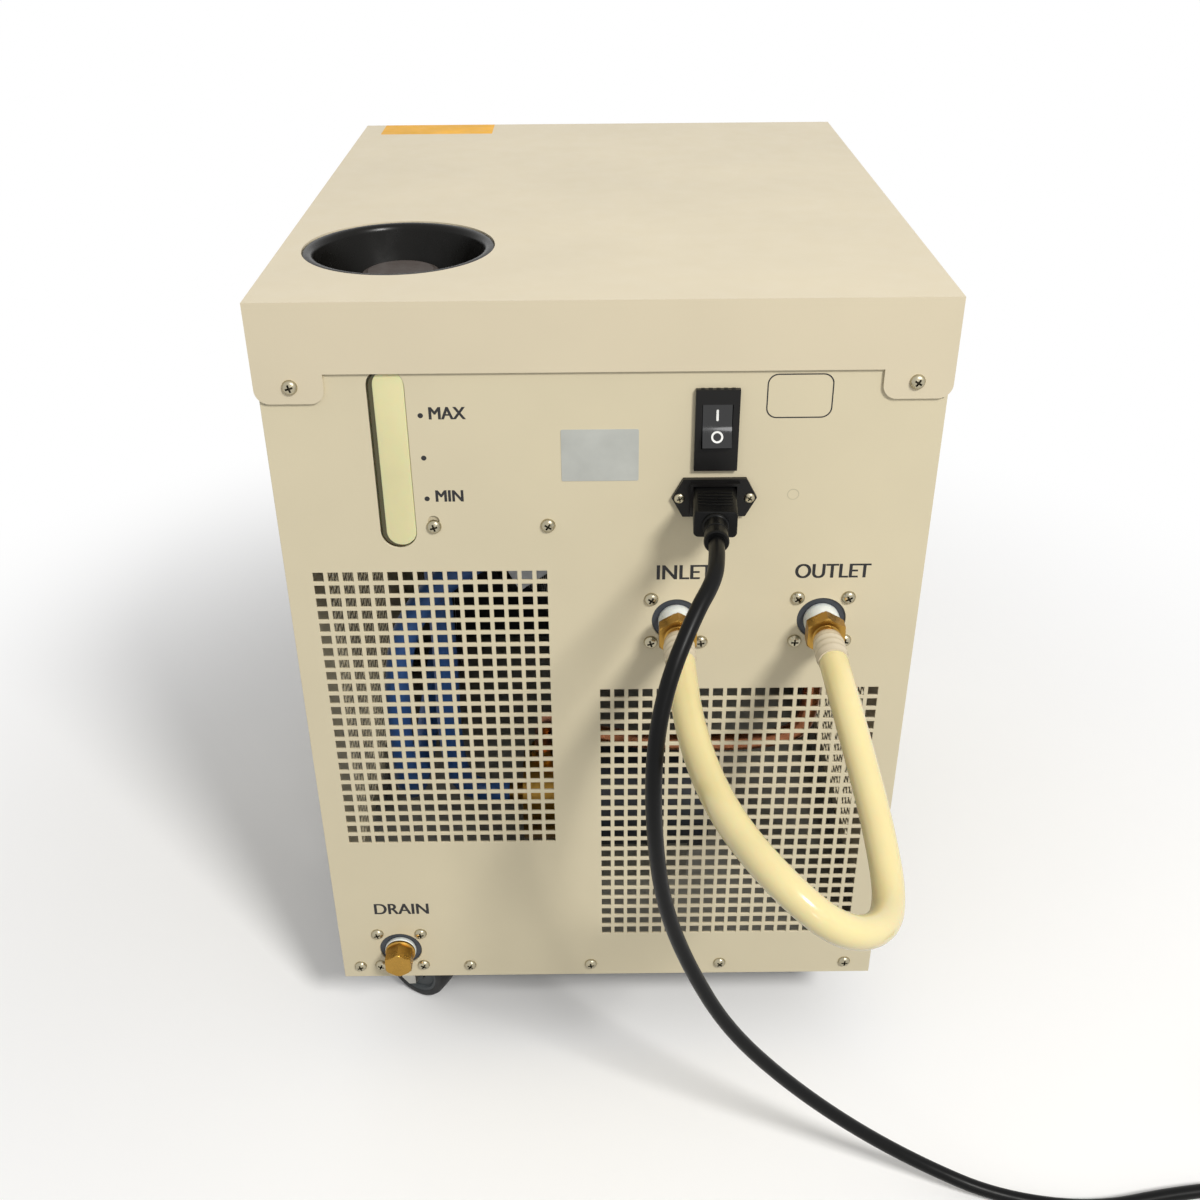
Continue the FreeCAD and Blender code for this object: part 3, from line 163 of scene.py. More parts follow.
def plastic(name, colour, low, high, grain=1400.0, strength=0.1, **settings):
    made = Shader(name, **settings)
    made.colour(made.noise(25.0), shade(colour, 0.86), shade(colour, 1.12))
    made.roughness(made.noise(120.0), low, high)
    made.bump(made.noise(grain, 2.0), strength, 0.0001)
    return made.material


def metal(name, colour, low, high, stretch=None, scale=300.0, strength=0.08):
    """Bright metal whose tone and polish vary, with fine marks along the way it was worked."""
    made = Shader(name, Metallic=1.0)
    made.colour(made.noise(45.0), shade(colour, 0.86), shade(colour, 1.06))
    made.roughness(made.noise(90.0), low, high)
    made.bump(made.noise(scale, 3.0, 0.6, stretch), strength, 0.0001)
    return made.material


def translucent(name, colour, low, high, **settings):
    made = Shader(name, **settings)
    made.colour(made.noise(14.0), shade(colour, 0.93), shade(colour, 1.03))
    made.roughness(made.noise(50.0), low, high)
    made.bump(made.noise(160.0, 2.0), 0.05, 0.0002)
    return made.material


def finned(name):
    """Closely set upright fins, drawn as a fine wave across the core, with painted shade in the dark bands
    between the fins.
    """
    made = Shader(name, Metallic=0.9, Roughness=0.45)
    wave = made.node("ShaderNodeTexWave", Scale=160.0, Distortion=0.3, Detail=1.0)
    wave.bands_direction = "X"
    made.links.new(made.place, wave.inputs["Vector"])
    # the wave runs from dark to light across each fin: the dark bands are painted shade between the fins
    made.colour(wave.outputs["Fac"], linear(60, 62, 62), linear(190, 192, 190), 0.2, 0.8)
    made.bump(wave.outputs["Fac"], 0.6, 0.0006)
    return made.material


def taped(name):
    """White sealing tape wound round a thread, with its edges as low ridges."""
    made = Shader(name, Roughness=0.55, Subsurface_Weight=0.1)
    wave = made.node("ShaderNodeTexWave", Scale=190.0, Distortion=1.5, Detail=2.0)
    wave.bands_direction = "Z"
    made.links.new(made.place, wave.inputs["Vector"])
    made.colour(made.noise(70.0), linear(214, 214, 208), linear(246, 246, 240))
    made.bump(wave.outputs["Fac"], 0.35, 0.0003)
    return made.material


def tank_skin(name, colour, gap_colour):
    """Moulded tank plastic, dark where it stands in the shade behind the level window's rim."""
    made = Shader(name, Roughness=0.4, Subsurface_Weight=0.2, Subsurface_Scale=0.004)
    spread = made.node("ShaderNodeSeparateXYZ")
    made.links.new(made.place, spread.inputs["Vector"])
    reach = made.node("ShaderNodeMapRange")
    reach.inputs["From Min"].default_value = PANEL_LOW.y + STRIP_BACK * MM
    reach.inputs["From Max"].default_value = PANEL_LOW.y + (STRIP_BACK + 1.0) * MM
    made.links.new(spread.outputs["Y"], reach.inputs["Value"])
    made.colour(reach.outputs["Result"], gap_colour, colour, 0.0, 1.0)
    made.bump(made.noise(160.0, 2.0), 0.05, 0.0002)
    return made.material


def make_materials():
    beige = linear(215, 204, 174)
    return {
        "cabinet": powder_coat("cabinet_paint", beige),
        "lid": powder_coat("lid_paint", linear(217, 205, 177)),
        "grey": powder_coat("grey_paint", linear(150, 148, 138)),
        # the port plates are zinc: their dark blue-grey is partly the plate's own dark grey and partly
        # painted shade of the recess behind the panel holes
        "dark": powder_coat("zinc_plate_painted_shade", linear(58, 62, 68)),
        "black": plastic("black_plastic", linear(17, 16, 15), 0.3, 0.42, Specular_IOR_Level=0.25),
        "gloss": plastic("gloss_plastic", linear(8, 8, 8), 0.06, 0.12, 300.0, 0.02, Coat_Weight=0.4),
        "liner": plastic(
            "liner_plastic", linear(13, 12, 9), 0.22, 0.32, 500.0, 0.06, Specular_IOR_Level=0.2,
        ),
        "cap": plastic("cap_plastic", linear(60, 50, 43), 0.4, 0.55, Specular_IOR_Level=0.25),
        "print": plastic("panel_print", linear(24, 24, 26), 0.5, 0.6),
        "mark": plastic("paint_mark", linear(196, 187, 158), 0.4, 0.5),
        "white": plastic("white_print", linear(236, 236, 232), 0.45, 0.55),
        "cord": plastic("cord_rubber", linear(9, 9, 9), 0.3, 0.42, 700.0, 0.05, Specular_IOR_Level=0.15),
        "tyre": plastic("tyre_rubber", linear(16, 17, 17), 0.5, 0.65, 500.0, 0.2),
        "hub": plastic("hub_plastic", linear(52, 58, 60), 0.35, 0.5),
        "motor": plastic("motor_paint", linear(48, 52, 57), 0.4, 0.5),
        "steel_black": plastic("black_steel", linear(30, 30, 31), 0.35, 0.5),
        "blue": plastic("blue_hose", linear(62, 108, 180), 0.34, 0.46),
        "yellow": plastic(
            "yellow_label", linear(240, 176, 6), 0.4, 0.5, 200.0, 0.03, Specular_IOR_Level=0.2,
        ),
        "plate": plastic("plate_silver", linear(186, 188, 182), 0.34, 0.46, 900.0, 0.05),
        "zinc": metal("zinc_plate", linear(186, 184, 176), 0.26, 0.42),
        "screw": metal("screw_steel", linear(176, 168, 144), 0.24, 0.36),
        "recess": metal("recess_shade", linear(70, 66, 54), 0.4, 0.5),
        "brass": metal("brass", linear(178, 138, 66), 0.24, 0.36, (1.0, 1.0, 14.0)),
        "copper": metal("copper", linear(196, 130, 94), 0.22, 0.36),
        "aluminium": metal("aluminium", linear(190, 192, 194), 0.3, 0.45),
        "fins": finned("radiator_fins"),
        "tape": taped("thread_tape"),
        "tank": tank_skin("tank_plastic", linear(226, 220, 172), linear(74, 70, 42)),
        "sight": translucent(
            "sight_plastic", linear(228, 221, 171), 0.3, 0.4,
            Subsurface_Weight=0.3, Subsurface_Scale=0.004,
        ),
        "hose": translucent(
            "clear_hose", linear(229, 214, 158), 0.16, 0.22,
            Subsurface_Weight=0.25, Subsurface_Scale=0.004, Coat_Weight=0.15,
        ),
        "hose_end": translucent("hose_end", linear(206, 194, 170), 0.2, 0.28, Coat_Weight=0.3),
    }


M = make_materials()


# building blocks


def keep(obj, material, body="cabinet", replaces=()):
    """Every new piece gets its material and its body, and the CAD parts that it replaces are hidden."""
    if obj.name not in bpy.context.scene.collection.objects:
        bpy.context.scene.collection.objects.link(obj)
    if not obj.data.materials:
        obj.data.materials.append(M[material])
    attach(obj, body)
    if replaces:
        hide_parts(*replaces)
    return obj


def from_bmesh(name, form, place, smooth_deg=35):
    """A mesh in millimetres, put in place in metres."""
    bmesh.ops.recalc_face_normals(form, faces=form.faces)
    bmesh.ops.scale(form, vec=(MM, MM, MM), verts=form.verts)
    mesh = bpy.data.meshes.new(name)
    form.to_mesh(mesh)
    form.free()
    mesh.shade_smooth()
    mesh.set_sharp_from_angle(angle=math.radians(smooth_deg))
    obj = bpy.data.objects.new(name, mesh)
    obj.matrix_world = place
    return obj


def lathe_form(profile, steps=64):
    """A closed profile of (radius, height) turned about Z."""
    form = bmesh.new()
    verts = [form.verts.new((radius, 0, height)) for radius, height in profile]
    edges = [form.edges.new((a, b)) for a, b in zip(verts, verts[1:] + verts[:1])]
    bmesh.ops.spin(
        form, geom=verts + edges, cent=(0, 0, 0), axis=(0, 0, 1),
        angle=math.tau, steps=steps, use_merge=True, use_duplicate=False,
    )
    bmesh.ops.remove_doubles(form, verts=form.verts, dist=0.001)
    return form


def prism_form(outline, low, high, bevel=0.0, segments=2):
    """An outline of (x, y) raised from low to high, with its rims softened."""
    form = bmesh.new()
    base = [form.verts.new((x, y, low)) for x, y in outline]
    face = form.faces.new(base)
    raised = bmesh.ops.extrude_face_region(form, geom=[face])
    tops = [item for item in raised["geom"] if isinstance(item, bmesh.types.BMVert)]
    bmesh.ops.translate(form, vec=(0, 0, high - low), verts=tops)
    if bevel:
        bmesh.ops.recalc_face_normals(form, faces=form.faces)
        bmesh.ops.bevel(
            form, geom=form.edges[:], offset=bevel, segments=segments, profile=0.5,
            affect="EDGES", clamp_overlap=True,
        )
    return form


def box_form(x, y, z, bevel=0.0):
    """A block from (low, high) pairs."""
    outline = [(x[0], y[0]), (x[1], y[0]), (x[1], y[1]), (x[0], y[1])]
    return prism_form(outline, z[0], z[1], bevel)


def ring_points(radius, count, start=0.0, squash=1.0):
    turns = (start + math.tau * step / count for step in range(count))
    return [(radius * math.cos(turn), squash * radius * math.sin(turn)) for turn in turns]


def merged(*forms):
    """Several forms as one mesh."""
    whole = bmesh.new()
    for form in forms:
        mesh = bpy.data.meshes.new("part")
        form.to_mesh(mesh)
        form.free()
        whole.from_mesh(mesh)
        bpy.data.meshes.remove(mesh)
    return whole


def moved(form, x=0.0, y=0.0, z=0.0):
    bmesh.ops.translate(form, vec=(x, y, z), verts=form.verts)
    return form


def rectangle(x, y, width, height):
    w = width / 2
    h = height / 2
    return [(x - w, y - h), (x + w, y - h), (x + w, y + h), (x - w, y + h)]


def circle(x, y, radius, count=48):
    return [(x + px, y + py) for px, py in ring_points(radius, count)]


def slot_outline(x, low, high, width, count=16):
    """A slot that stands upright, with round ends."""
    radius = width / 2
    steps = [math.pi * step / count for step in range(count + 1)]
    top = [(x + radius * math.cos(a), high - radius + radius * math.sin(a)) for a in steps]
    foot = [(x - radius * math.cos(a), low + radius - radius * math.sin(a)) for a in steps]
    return top + foot


def rounded_rectangle(x, y, width, height, radius, count=8):
    corners = (
        (x + width / 2 - radius, y + height / 2 - radius, 0),
        (x - width / 2 + radius, y + height / 2 - radius, 90),
        (x - width / 2 + radius, y - height / 2 + radius, 180),
        (x + width / 2 - radius, y - height / 2 + radius, 270),
    )
    points = []
    for cx, cy, start in corners:
        for step in range(count + 1):
            angle = math.radians(start + 90 * step / count)
            points.append((cx + radius * math.cos(angle), cy + radius * math.sin(angle)))
    return points


def cut_sheet(name, loops, thick, place, edge=0.15):
    """A flat sheet with openings and softened rims. The first loop is its outer edge."""
    curve = bpy.data.curves.new(name, "CURVE")
    curve.dimensions = "2D"
    curve.fill_mode = "BOTH"
    curve.extrude = thick / 2 - edge
    curve.bevel_depth = edge
    curve.bevel_resolution = 0
    curve.offset = -edge
    for loop in loops:
        spline = curve.splines.new("POLY")
        spline.points.add(len(loop) - 1)
        for point, (x, y) in zip(spline.points, loop):
            point.co = (x, y, 0, 1)
        spline.use_cyclic_u = True
    holder = bpy.data.objects.new(name + "_curve", curve)
    bpy.context.scene.collection.objects.link(holder)
    graph = bpy.context.evaluated_depsgraph_get()
    mesh = bpy.data.meshes.new_from_object(holder.evaluated_get(graph))
    bpy.data.objects.remove(holder)
    bpy.data.curves.remove(curve)
    mesh.transform(Matrix.Scale(MM, 4))
    mesh.shade_flat()
    obj = bpy.data.objects.new(name, mesh)
    obj.matrix_world = place
    return obj


def hole_field(x, top, columns, rows, pitch=HOLE_PITCH, side=HOLE_SIDE):
    """The square holes of one perforated field, from its upper left hole."""
    return [
        rectangle(x + column * pitch, top - row * pitch, side, side)
        for row in range(rows)
        for column in range(columns)
    ]


def run(name, points, radius, material, body="cabinet", replaces=(), fine=8):
    """A round hose or cord on one smooth line through its control points, in the row frame."""
    curve = bpy.data.curves.new(name, "CURVE")
    curve.dimensions = "3D"
    spline = curve.splines.new("NURBS")
    spline.points.add(len(points) - 1)
    for point, place in zip(spline.points, points):
        point.co = (*place, 1.0)
    spline.order_u = 3
    spline.use_endpoint_u = True
    curve.resolution_u = fine
    curve.bevel_depth = radius * MM
    curve.bevel_resolution = 7
    curve.use_fill_caps = True
    obj = bpy.data.objects.new(name, curve)
    return keep(obj, material, body, replaces)


def lettering(name, text, left, right, low, high, bold=0.33, y=-0.05, material="print", body="cabinet"):
    """Printed words that fill a place on the service panel."""
    curve = bpy.data.curves.new(name, "FONT")
    curve.body = text
    curve.extrude = 0.01
    holder = bpy.data.objects.new(name + "_font", curve)
    bpy.context.scene.collection.objects.link(holder)
    graph = bpy.context.evaluated_depsgraph_get()
    mesh = bpy.data.meshes.new_from_object(holder.evaluated_get(graph))
    bpy.data.objects.remove(holder)
    bpy.data.curves.remove(curve)
    xs = [vertex.co.x for vertex in mesh.vertices]
    ys = [vertex.co.y for vertex in mesh.vertices]
    wide = (right - left - 2 * bold) / (max(xs) - min(xs))
    tall = (high - low) / (max(ys) - min(ys))
    for vertex in mesh.vertices:
        vertex.co.x = left + bold + (vertex.co.x - min(xs)) * wide
        vertex.co.y = low + (vertex.co.y - min(ys)) * tall
        vertex.co.z = vertex.co.z * 3.0
    copies = []
    for number, shift in enumerate((-bold, 0.0, bold)):
        form = bmesh.new()
        form.from_mesh(mesh)
        copies.append(moved(form, shift, 0.0, 0.003 * number))
    bpy.data.meshes.remove(mesh)
    return keep(from_bmesh(name, merged(*copies), outward(0, 0, y)), material, body)


def dress(material, *names):
    """A CAD node keeps its shape and gets a material."""
    for name in names:
        node = NODES[name]
        if not node.material_slots:
            node.data.materials.append(M[material])
        for item in node.material_slots:
            item.link = "OBJECT"
            item.material = M[material]


def soften(width, *names, segments=2, angle=30):
    """The bent and moulded edges of a CAD node catch the light."""
    for name in names:
        node = NODES[name]
        flat = node.modifiers.new("flat", "DECIMATE")
        flat.decimate_type = "DISSOLVE"
        flat.angle_limit = math.radians(2)
        bevel = node.modifiers.new("edge", "BEVEL")
        bevel.width = width * MM
        bevel.segments = segments
        bevel.limit_method = "ANGLE"
        bevel.angle_limit = math.radians(angle)
        bevel.harden_normals = True


# camera, light and floor

# where the camera stood, its axes and its lens, worked out from the panel's corners and holes
CAMERA_PLACE = (-5.5, -671.4, 716.2)
CAMERA_RIGHT = (0.99995, -0.0077, -0.0066)
CAMERA_AHEAD = (0.0032, 0.8583, -0.5132)
CAMERA_LENS = 39.17


def make_camera():
    data = bpy.data.cameras.new("camera")
    data.lens = CAMERA_LENS
    data.sensor_width = 36.0
    data.clip_start = 0.01
    ahead = Vector(CAMERA_AHEAD).normalized()
    right = Vector(CAMERA_RIGHT).normalized()
    above = right.cross(ahead).normalized()
    turn = Matrix((right, above, -ahead)).transposed().to_4x4()
    obj = bpy.data.objects.new("camera", data)
    obj.matrix_world = Matrix.Translation(at(*CAMERA_PLACE)) @ turn
    bpy.context.scene.collection.objects.link(obj)
    bpy.context.scene.camera = obj


def lamp(name, place, target, size, power, colour=(1.0, 1.0, 1.0)):
    data = bpy.data.lights.new(name, "AREA")
    data.shape = "DISK"
    data.size = size
    data.energy = power
    data.color = colour
    obj = bpy.data.objects.new(name, data)
    aim = Vector(target) - Vector(place)
    obj.matrix_world = Matrix.Translation(place) @ aim.to_track_quat("-Z", "Y").to_matrix().to_4x4()
    bpy.context.scene.collection.objects.link(obj)


def seen_background(nodes, links):
    """One for the rays that show the background: seen, glossy and passing through clear parts."""
    path = nodes.new("ShaderNodeLightPath")
    total = path.outputs["Is Camera Ray"]
    for other in ("Is Glossy Ray", "Is Transmission Ray"):
        larger = nodes.new("ShaderNodeMath")
        larger.operation = "MAXIMUM"
        links.new(total, larger.inputs[0])
        links.new(path.outputs[other], larger.inputs[1])
        total = larger.outputs["Value"]
    return total


def make_light():
    middle = (0.0, 0.0, 0.3)
    lamp("key", (1.4, -2.35, 2.65), middle, 0.7, 88.0, (1.0, 0.985, 0.955))
    lamp("front", (0.45, -2.6, 0.75), middle, 0.35, 1.6)
    world = bpy.data.worlds.new("world")
    world.use_nodes = True
    nodes = world.node_tree.nodes
    links = world.node_tree.links
    nodes["Background"].inputs["Strength"].default_value = 0.58
    nodes["Background"].inputs["Color"].default_value = (1.0, 1.0, 1.0, 1.0)
    white = nodes.new("ShaderNodeBackground")
    white.inputs["Color"].default_value = (1.0, 1.0, 1.0, 1.0)
    white.inputs["Strength"].default_value = 1.0
    mix = nodes.new("ShaderNodeMixShader")
    links.new(seen_background(nodes, links), mix.inputs["Fac"])
    links.new(nodes["Background"].outputs["Background"], mix.inputs[1])
    links.new(white.outputs["Background"], mix.inputs[2])
    links.new(mix.outputs["Shader"], nodes["World Output"].inputs["Surface"])
    bpy.context.scene.world = world
    bpy.context.scene.view_settings.view_transform = "Standard"


def mixed(shader, factor, first, second):
    made = shader.nodes.new("ShaderNodeMixShader")
    shader.links.new(factor, made.inputs["Fac"])
    shader.links.new(first, made.inputs[1])
    shader.links.new(second, made.inputs[2])
    return made.outputs["Shader"]


def floor_paint():
    """White that takes the shadow near the object and fades into the white background further off."""
    made = Shader("floor_white", Roughness=0.9, Specular_IOR_Level=0.0)
    made.colour(made.noise(1.5), (0.93, 0.93, 0.93), (0.95, 0.95, 0.95))
    dull = made.node("ShaderNodeBsdfDiffuse", Color=(0.3, 0.3, 0.3, 1.0))
    glow = made.node("ShaderNodeEmission", Strength=1.0)
    length = made.node("ShaderNodeVectorMath")
    length.operation = "LENGTH"
    made.links.new(made.place, length.inputs[0])
    fade = made.node("ShaderNodeMapRange")
    fade.interpolation_type = "SMOOTHSTEP"
    for socket, value in (("From Min", 0.4), ("From Max", 1.0), ("To Min", 0.0), ("To Max", 1.0)):
        fade.inputs[socket].default_value = value
    made.links.new(length.outputs["Value"], fade.inputs["Value"])
    shown = mixed(made, fade.outputs["Result"], made.surface.outputs["BSDF"], glow.outputs["Emission"])
    seen = seen_background(made.nodes, made.links)
    whole = mixed(made, seen, dull.outputs["BSDF"], shown)
    made.links.new(whole, made.nodes["Material Output"].inputs["Surface"])
    return made.material


def make_floor():
    """A pale floor that keeps the object's shadow and runs on as the background."""
    form = bmesh.new()
    bmesh.ops.create_circle(form, cap_ends=True, segments=96, radius=14.0)
    mesh = bpy.data.meshes.new("floor")
    form.to_mesh(mesh)
    form.free()
    obj = bpy.data.objects.new("floor", mesh)
    obj.location.z = -0.0004
    mesh.materials.append(floor_paint())
    bpy.context.scene.collection.objects.link(obj)


# hose loop and mains cord

HOSE_RADIUS = 8.5
CORD_RADIUS = 4.4

HOSE_POINTS = (
    (130.8, -26.0, 299.8),
    (130.8, -62.0, 300.0),
    (135.8, -98.0, 283.2),
    (143.4, -136.3, 256.6),
    (144.6, -176.5, 240.1),
    (132.4, -208.0, 248.7),
    (107.9, -225.8, 265.8),
    (80.7, -215.1, 286.5),
    (60.6, -177.7, 290.7),
    (49.7, -137.0, 292.2),
    (43.7, -98.7, 298.5),
    (43.0, -62.0, 300.2),
    (43.0, -26.0, 299.8),
)

# where the cord leaves the plug's boot, and its way down to the coil
BOOT_TIP = (59.4, -57.0, 383.4)
CORD_POINTS = (
    BOOT_TIP,
    (58.4, -74.0, 383.4),
    (55.5, -90.0, 379.5),
    (44.8, -107.8, 370.6),
    (29.6, -130.8, 343.3),
    (22.9, -142.7, 307.1),
    (24.0, -143.9, 255.4),
    (30.5, -136.4, 198.3),
    (46.1, -129.6, 144.1),
    (71.2, -125.9, 87.0),
    (109.4, -122.3, 35.3),
    (156.3, -121.0, -12.1),
    (205.3, -126.2, -45.0),
    (254.4, -139.1, -61.3),
    (314.4, -149.0, -61.6),
    (373.2, -137.5, -61.5),
    (430.5, -132.5, -61.6),
)

COIL = (500.0, -77.0)
COIL_RADIUS = 57.8
COIL_PITCH = 8.9
COIL_STEPS = 16
COIL_TURNS = 2.0
COIL_RISE_TURNS = 0.3
COIL_TAIL = 32.0


def coil_points():
    """The wound turns: inward on the floor, up, and outward on top of them."""
    low = FLOOR + CORD_RADIUS
    high = low + COIL_PITCH
    swell = 1 / math.cos(math.pi / COIL_STEPS)
    upper_turns = COIL_TURNS - 0.05
    start = math.radians(-90)
    turns = COIL_TURNS + COIL_RISE_TURNS + upper_turns
    count = round(turns * COIL_STEPS)
    inner = COIL_RADIUS - COIL_TURNS * COIL_PITCH
    points = []
    for step in range(count + 1):
        turn = step / COIL_STEPS
        if turn <= COIL_TURNS:
            radius = COIL_RADIUS - turn * COIL_PITCH
            height = low
        elif turn <= COIL_TURNS + COIL_RISE_TURNS:
            radius = inner
            height = low + (high - low) * (turn - COIL_TURNS) / COIL_RISE_TURNS
        else:
            radius = inner + (turn - COIL_TURNS - COIL_RISE_TURNS) * (COIL_RADIUS - inner) / upper_turns
            height = high
        angle = start + math.tau * turn
        x = COIL[0] + radius * swell * math.cos(angle)
        y = COIL[1] + radius * swell * math.sin(angle)
        points.append((x, y, height))
    return points


def make_hose():
    points = [at(*point) for point in HOSE_POINTS]
    hose = run("hose", points, HOSE_RADIUS, "hose", replaces=["hose_loop"])


def make_cord():
    route = [at(*point) for point in CORD_POINTS + tuple(coil_points())]
    end_x = COIL[0] + COIL_RADIUS
    end_z = FLOOR + 11.0
    for share, lift in ((0.4, 1.8), (0.75, 0.4), (1.0, 0.0)):
        route.append(at(end_x, COIL[1] + COIL_TAIL * share, end_z + lift))
    cord = run("cord", route, CORD_RADIUS, "cord", replaces=["mains_cord", "cord_coil"])
    make_appliance_plug()
    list(make_mains_plug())


# cabinet

LEFT_FIELD = (-169.8, 332.1, 16, 24)
RIGHT_FIELD = (-0.2, 246.4, 20, 24)
SIDE_FIELD = (98.4, 302.2, 23, 31)
PORT_HOLE = 14.8
KEYHOLE_RADIUS = 3.3
LIP_REACH = 12
FLANGE_DROP = 40.0
TAB_DROP = 57.0


def make_service_panel():
    """The panel with every hole of its two perforated fields."""
    loops = [rectangle(0, PANEL_HEIGHT / 2, PANEL_WIDTH, PANEL_HEIGHT)]
    loops.append(slot_outline(WINDOW_X, *WINDOW))
    loops.append(rectangle(*BREAKER, 22.0, 45.0))
    loops.append(rectangle(*POWER, 28.0, 20.0))
    loops += [circle(x, z, PORT_HOLE) for x, z in PORTS.values()]
    loops.append(circle(*KEYHOLE, KEYHOLE_RADIUS))
    loops += hole_field(*LEFT_FIELD)
    loops += hole_field(*RIGHT_FIELD)
    panel = cut_sheet("service_panel", loops, SHEET, outward(0, 0, SHEET / 2))
    keep(panel, "cabinet", replaces=["rear_panel"])


def make_side_panels():
    """Both side walls, each with its perforated field and its folded ends."""
    upright_plane = Matrix(((0, 0, 1), (1, 0, 0), (0, 1, 0))).to_4x4()
    for name, side in (("left", -1), ("right", 1)):
        middle = side * (PANEL_WIDTH - SHEET) / 2
        loops = [rectangle(DEPTH / 2, PANEL_HEIGHT / 2, DEPTH - 2 * SHEET, PANEL_HEIGHT)]
        loops += hole_field(*SIDE_FIELD)
        place = Matrix.Translation(at(middle, 0, 0)) @ upright_plane
        wall = cut_sheet(f"side_wall_{name}", loops, SHEET, place)
        keep(wall, "cabinet", replaces=[f"side_panel_{name}"])
        inner = sorted((side * (PANEL_WIDTH / 2 - SHEET), side * (PANEL_WIDTH / 2 - LIP_REACH)))
        for end, start in (("rear", SHEET), ("front", DEPTH - 2 * SHEET)):
            lip = box_form(inner, (start, start + SHEET), (0, PANEL_HEIGHT), 0.3)
            obj = from_bmesh(f"side_lip_{name}_{end}", lip, upright(0, 0, 0))
            keep(obj, "cabinet")


def make_lid():
    """The lid, with dark strips of painted shadow under its flange and under its two screw tabs."""
    dress("lid", "top_cover")
    soften(1.1, "top_cover", segments=4)
    behind = (-0.35, -0.05)
    flange = LID_TOP - FLANGE_DROP
    tab = LID_TOP - TAB_DROP
    # thin black strips on the panel just under the flange and the tabs: painted shadow of the overhanging
    # lid
    shadow_strips = [box_form((-152.5, 152.5), behind, (flange - 0.55, flange + 0.6))]
    for side in (-1, 1):
        shadow_strips.append(box_form(sorted((side * 160.5, side * 186.5)), behind, (tab - 0.4, tab + 0.6)))
    keep(from_bmesh("lid_painted_shadow", merged(*shadow_strips), upright(0, 0, 0)), "print")


def make_case():
    dress("cabinet", "front_panel")
    soften(0.3, "front_panel")
    dress("grey", "base_pan", "electrical_box")
    dress("cabinet", "reservoir_bracket")
    make_service_panel()
    make_side_panels()
    make_lid()


# filler well, tank and level window


def make_well():
    profile = [
        (64.0, -0.15), (57.4, -0.15), (56.4, 0.7), (54.6, 1.25), (52.4, 0.9), (51.0, -0.3),
        (50.3, -2.5), (46.3, -27.0), (45.2, -28.8), (43.0, -29.5), (17.6, -29.5), (17.6, -31.4),
        (44.0, -31.4), (47.2, -30.4), (48.4, -28.0), (52.3, -3.0), (53.4, -2.0), (64.0, -2.0),
    ]
    bowl = from_bmesh("well_bowl", lathe_form(profile, 128), upright(*WELL, LID_UNDER))
    keep(bowl, "liner", replaces=["filler_well"])
    low = (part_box("filler_cap")[0][2] - PANEL_LOW.z) / MM
    ribs = []
    for step, (x, y) in enumerate(ring_points(1.0, 96)):
        reach = 23.4 if step % 2 else 22.8
        ribs.append((x * reach, y * reach))
    skirt = prism_form(ribs, 0, 12.6)
    crown = lathe_form([
        (0, 15), (19.6, 15), (20.4, 14.3), (21.6, 14.15), (22.8, 13.6), (23.2, 12.4), (0, 12.4),
    ])
    cap = from_bmesh("cap", merged(skirt, crown), upright(*WELL, low))
    keep(cap, "cap", "cap", replaces=["filler_cap"])


def make_tank():
    dress("tank", "reservoir")
    strip = prism_form(slot_outline(0, *STRIP, 20), 0, 6.7, 3.6, 6)
    place = outward(WINDOW_X + STRIP_SHIFT, 0, STRIP_BACK)
    keep(from_bmesh("sight_strip", strip, place), "sight")


# coolant ports


def chamfered_hexagon(flats, low, high, corner=0.9):
    """A hexagon whose corners are turned down at both ends."""
    radius = flats / math.sqrt(3)
    form = bmesh.new()
    sections = ((low, radius - corner), (low + 0.6, radius), (high - 0.6, radius), (high, radius - corner))
    rings = []
    for height, reach in sections:
        points = ring_points(radius, 36, math.radians(90))
        limited = []
        for x, y in points:
            turn = math.atan2(y, x) - math.radians(90)
            wrapped = (turn + math.radians(30)) % math.radians(60) - math.radians(30)
            side = flats / 2 / math.cos(math.radians(30) - abs(wrapped))
            limit = min(side, reach) / radius
            limited.append(form.verts.new((x * limit, y * limit, height)))
        rings.append(limited)
    bridge(form, rings)
    return form


def bridge(form, rings):
    """Skin between rings of equal count, closed at both ends."""
    count = len(rings[0])
    for lower, upper in zip(rings, rings[1:]):
        for index in range(count):
            after = (index + 1) % count
            form.faces.new((lower[index], lower[after], upper[after], upper[index]))
    form.faces.new(rings[0])
    form.faces.new(rings[-1])


def loft_form(sections):
    """Outlines of equal count, each with its own height, skinned into one form."""
    form = bmesh.new()
    bridge(form, [[form.verts.new((x, y, height)) for x, y in outline] for height, outline in sections])
    return form


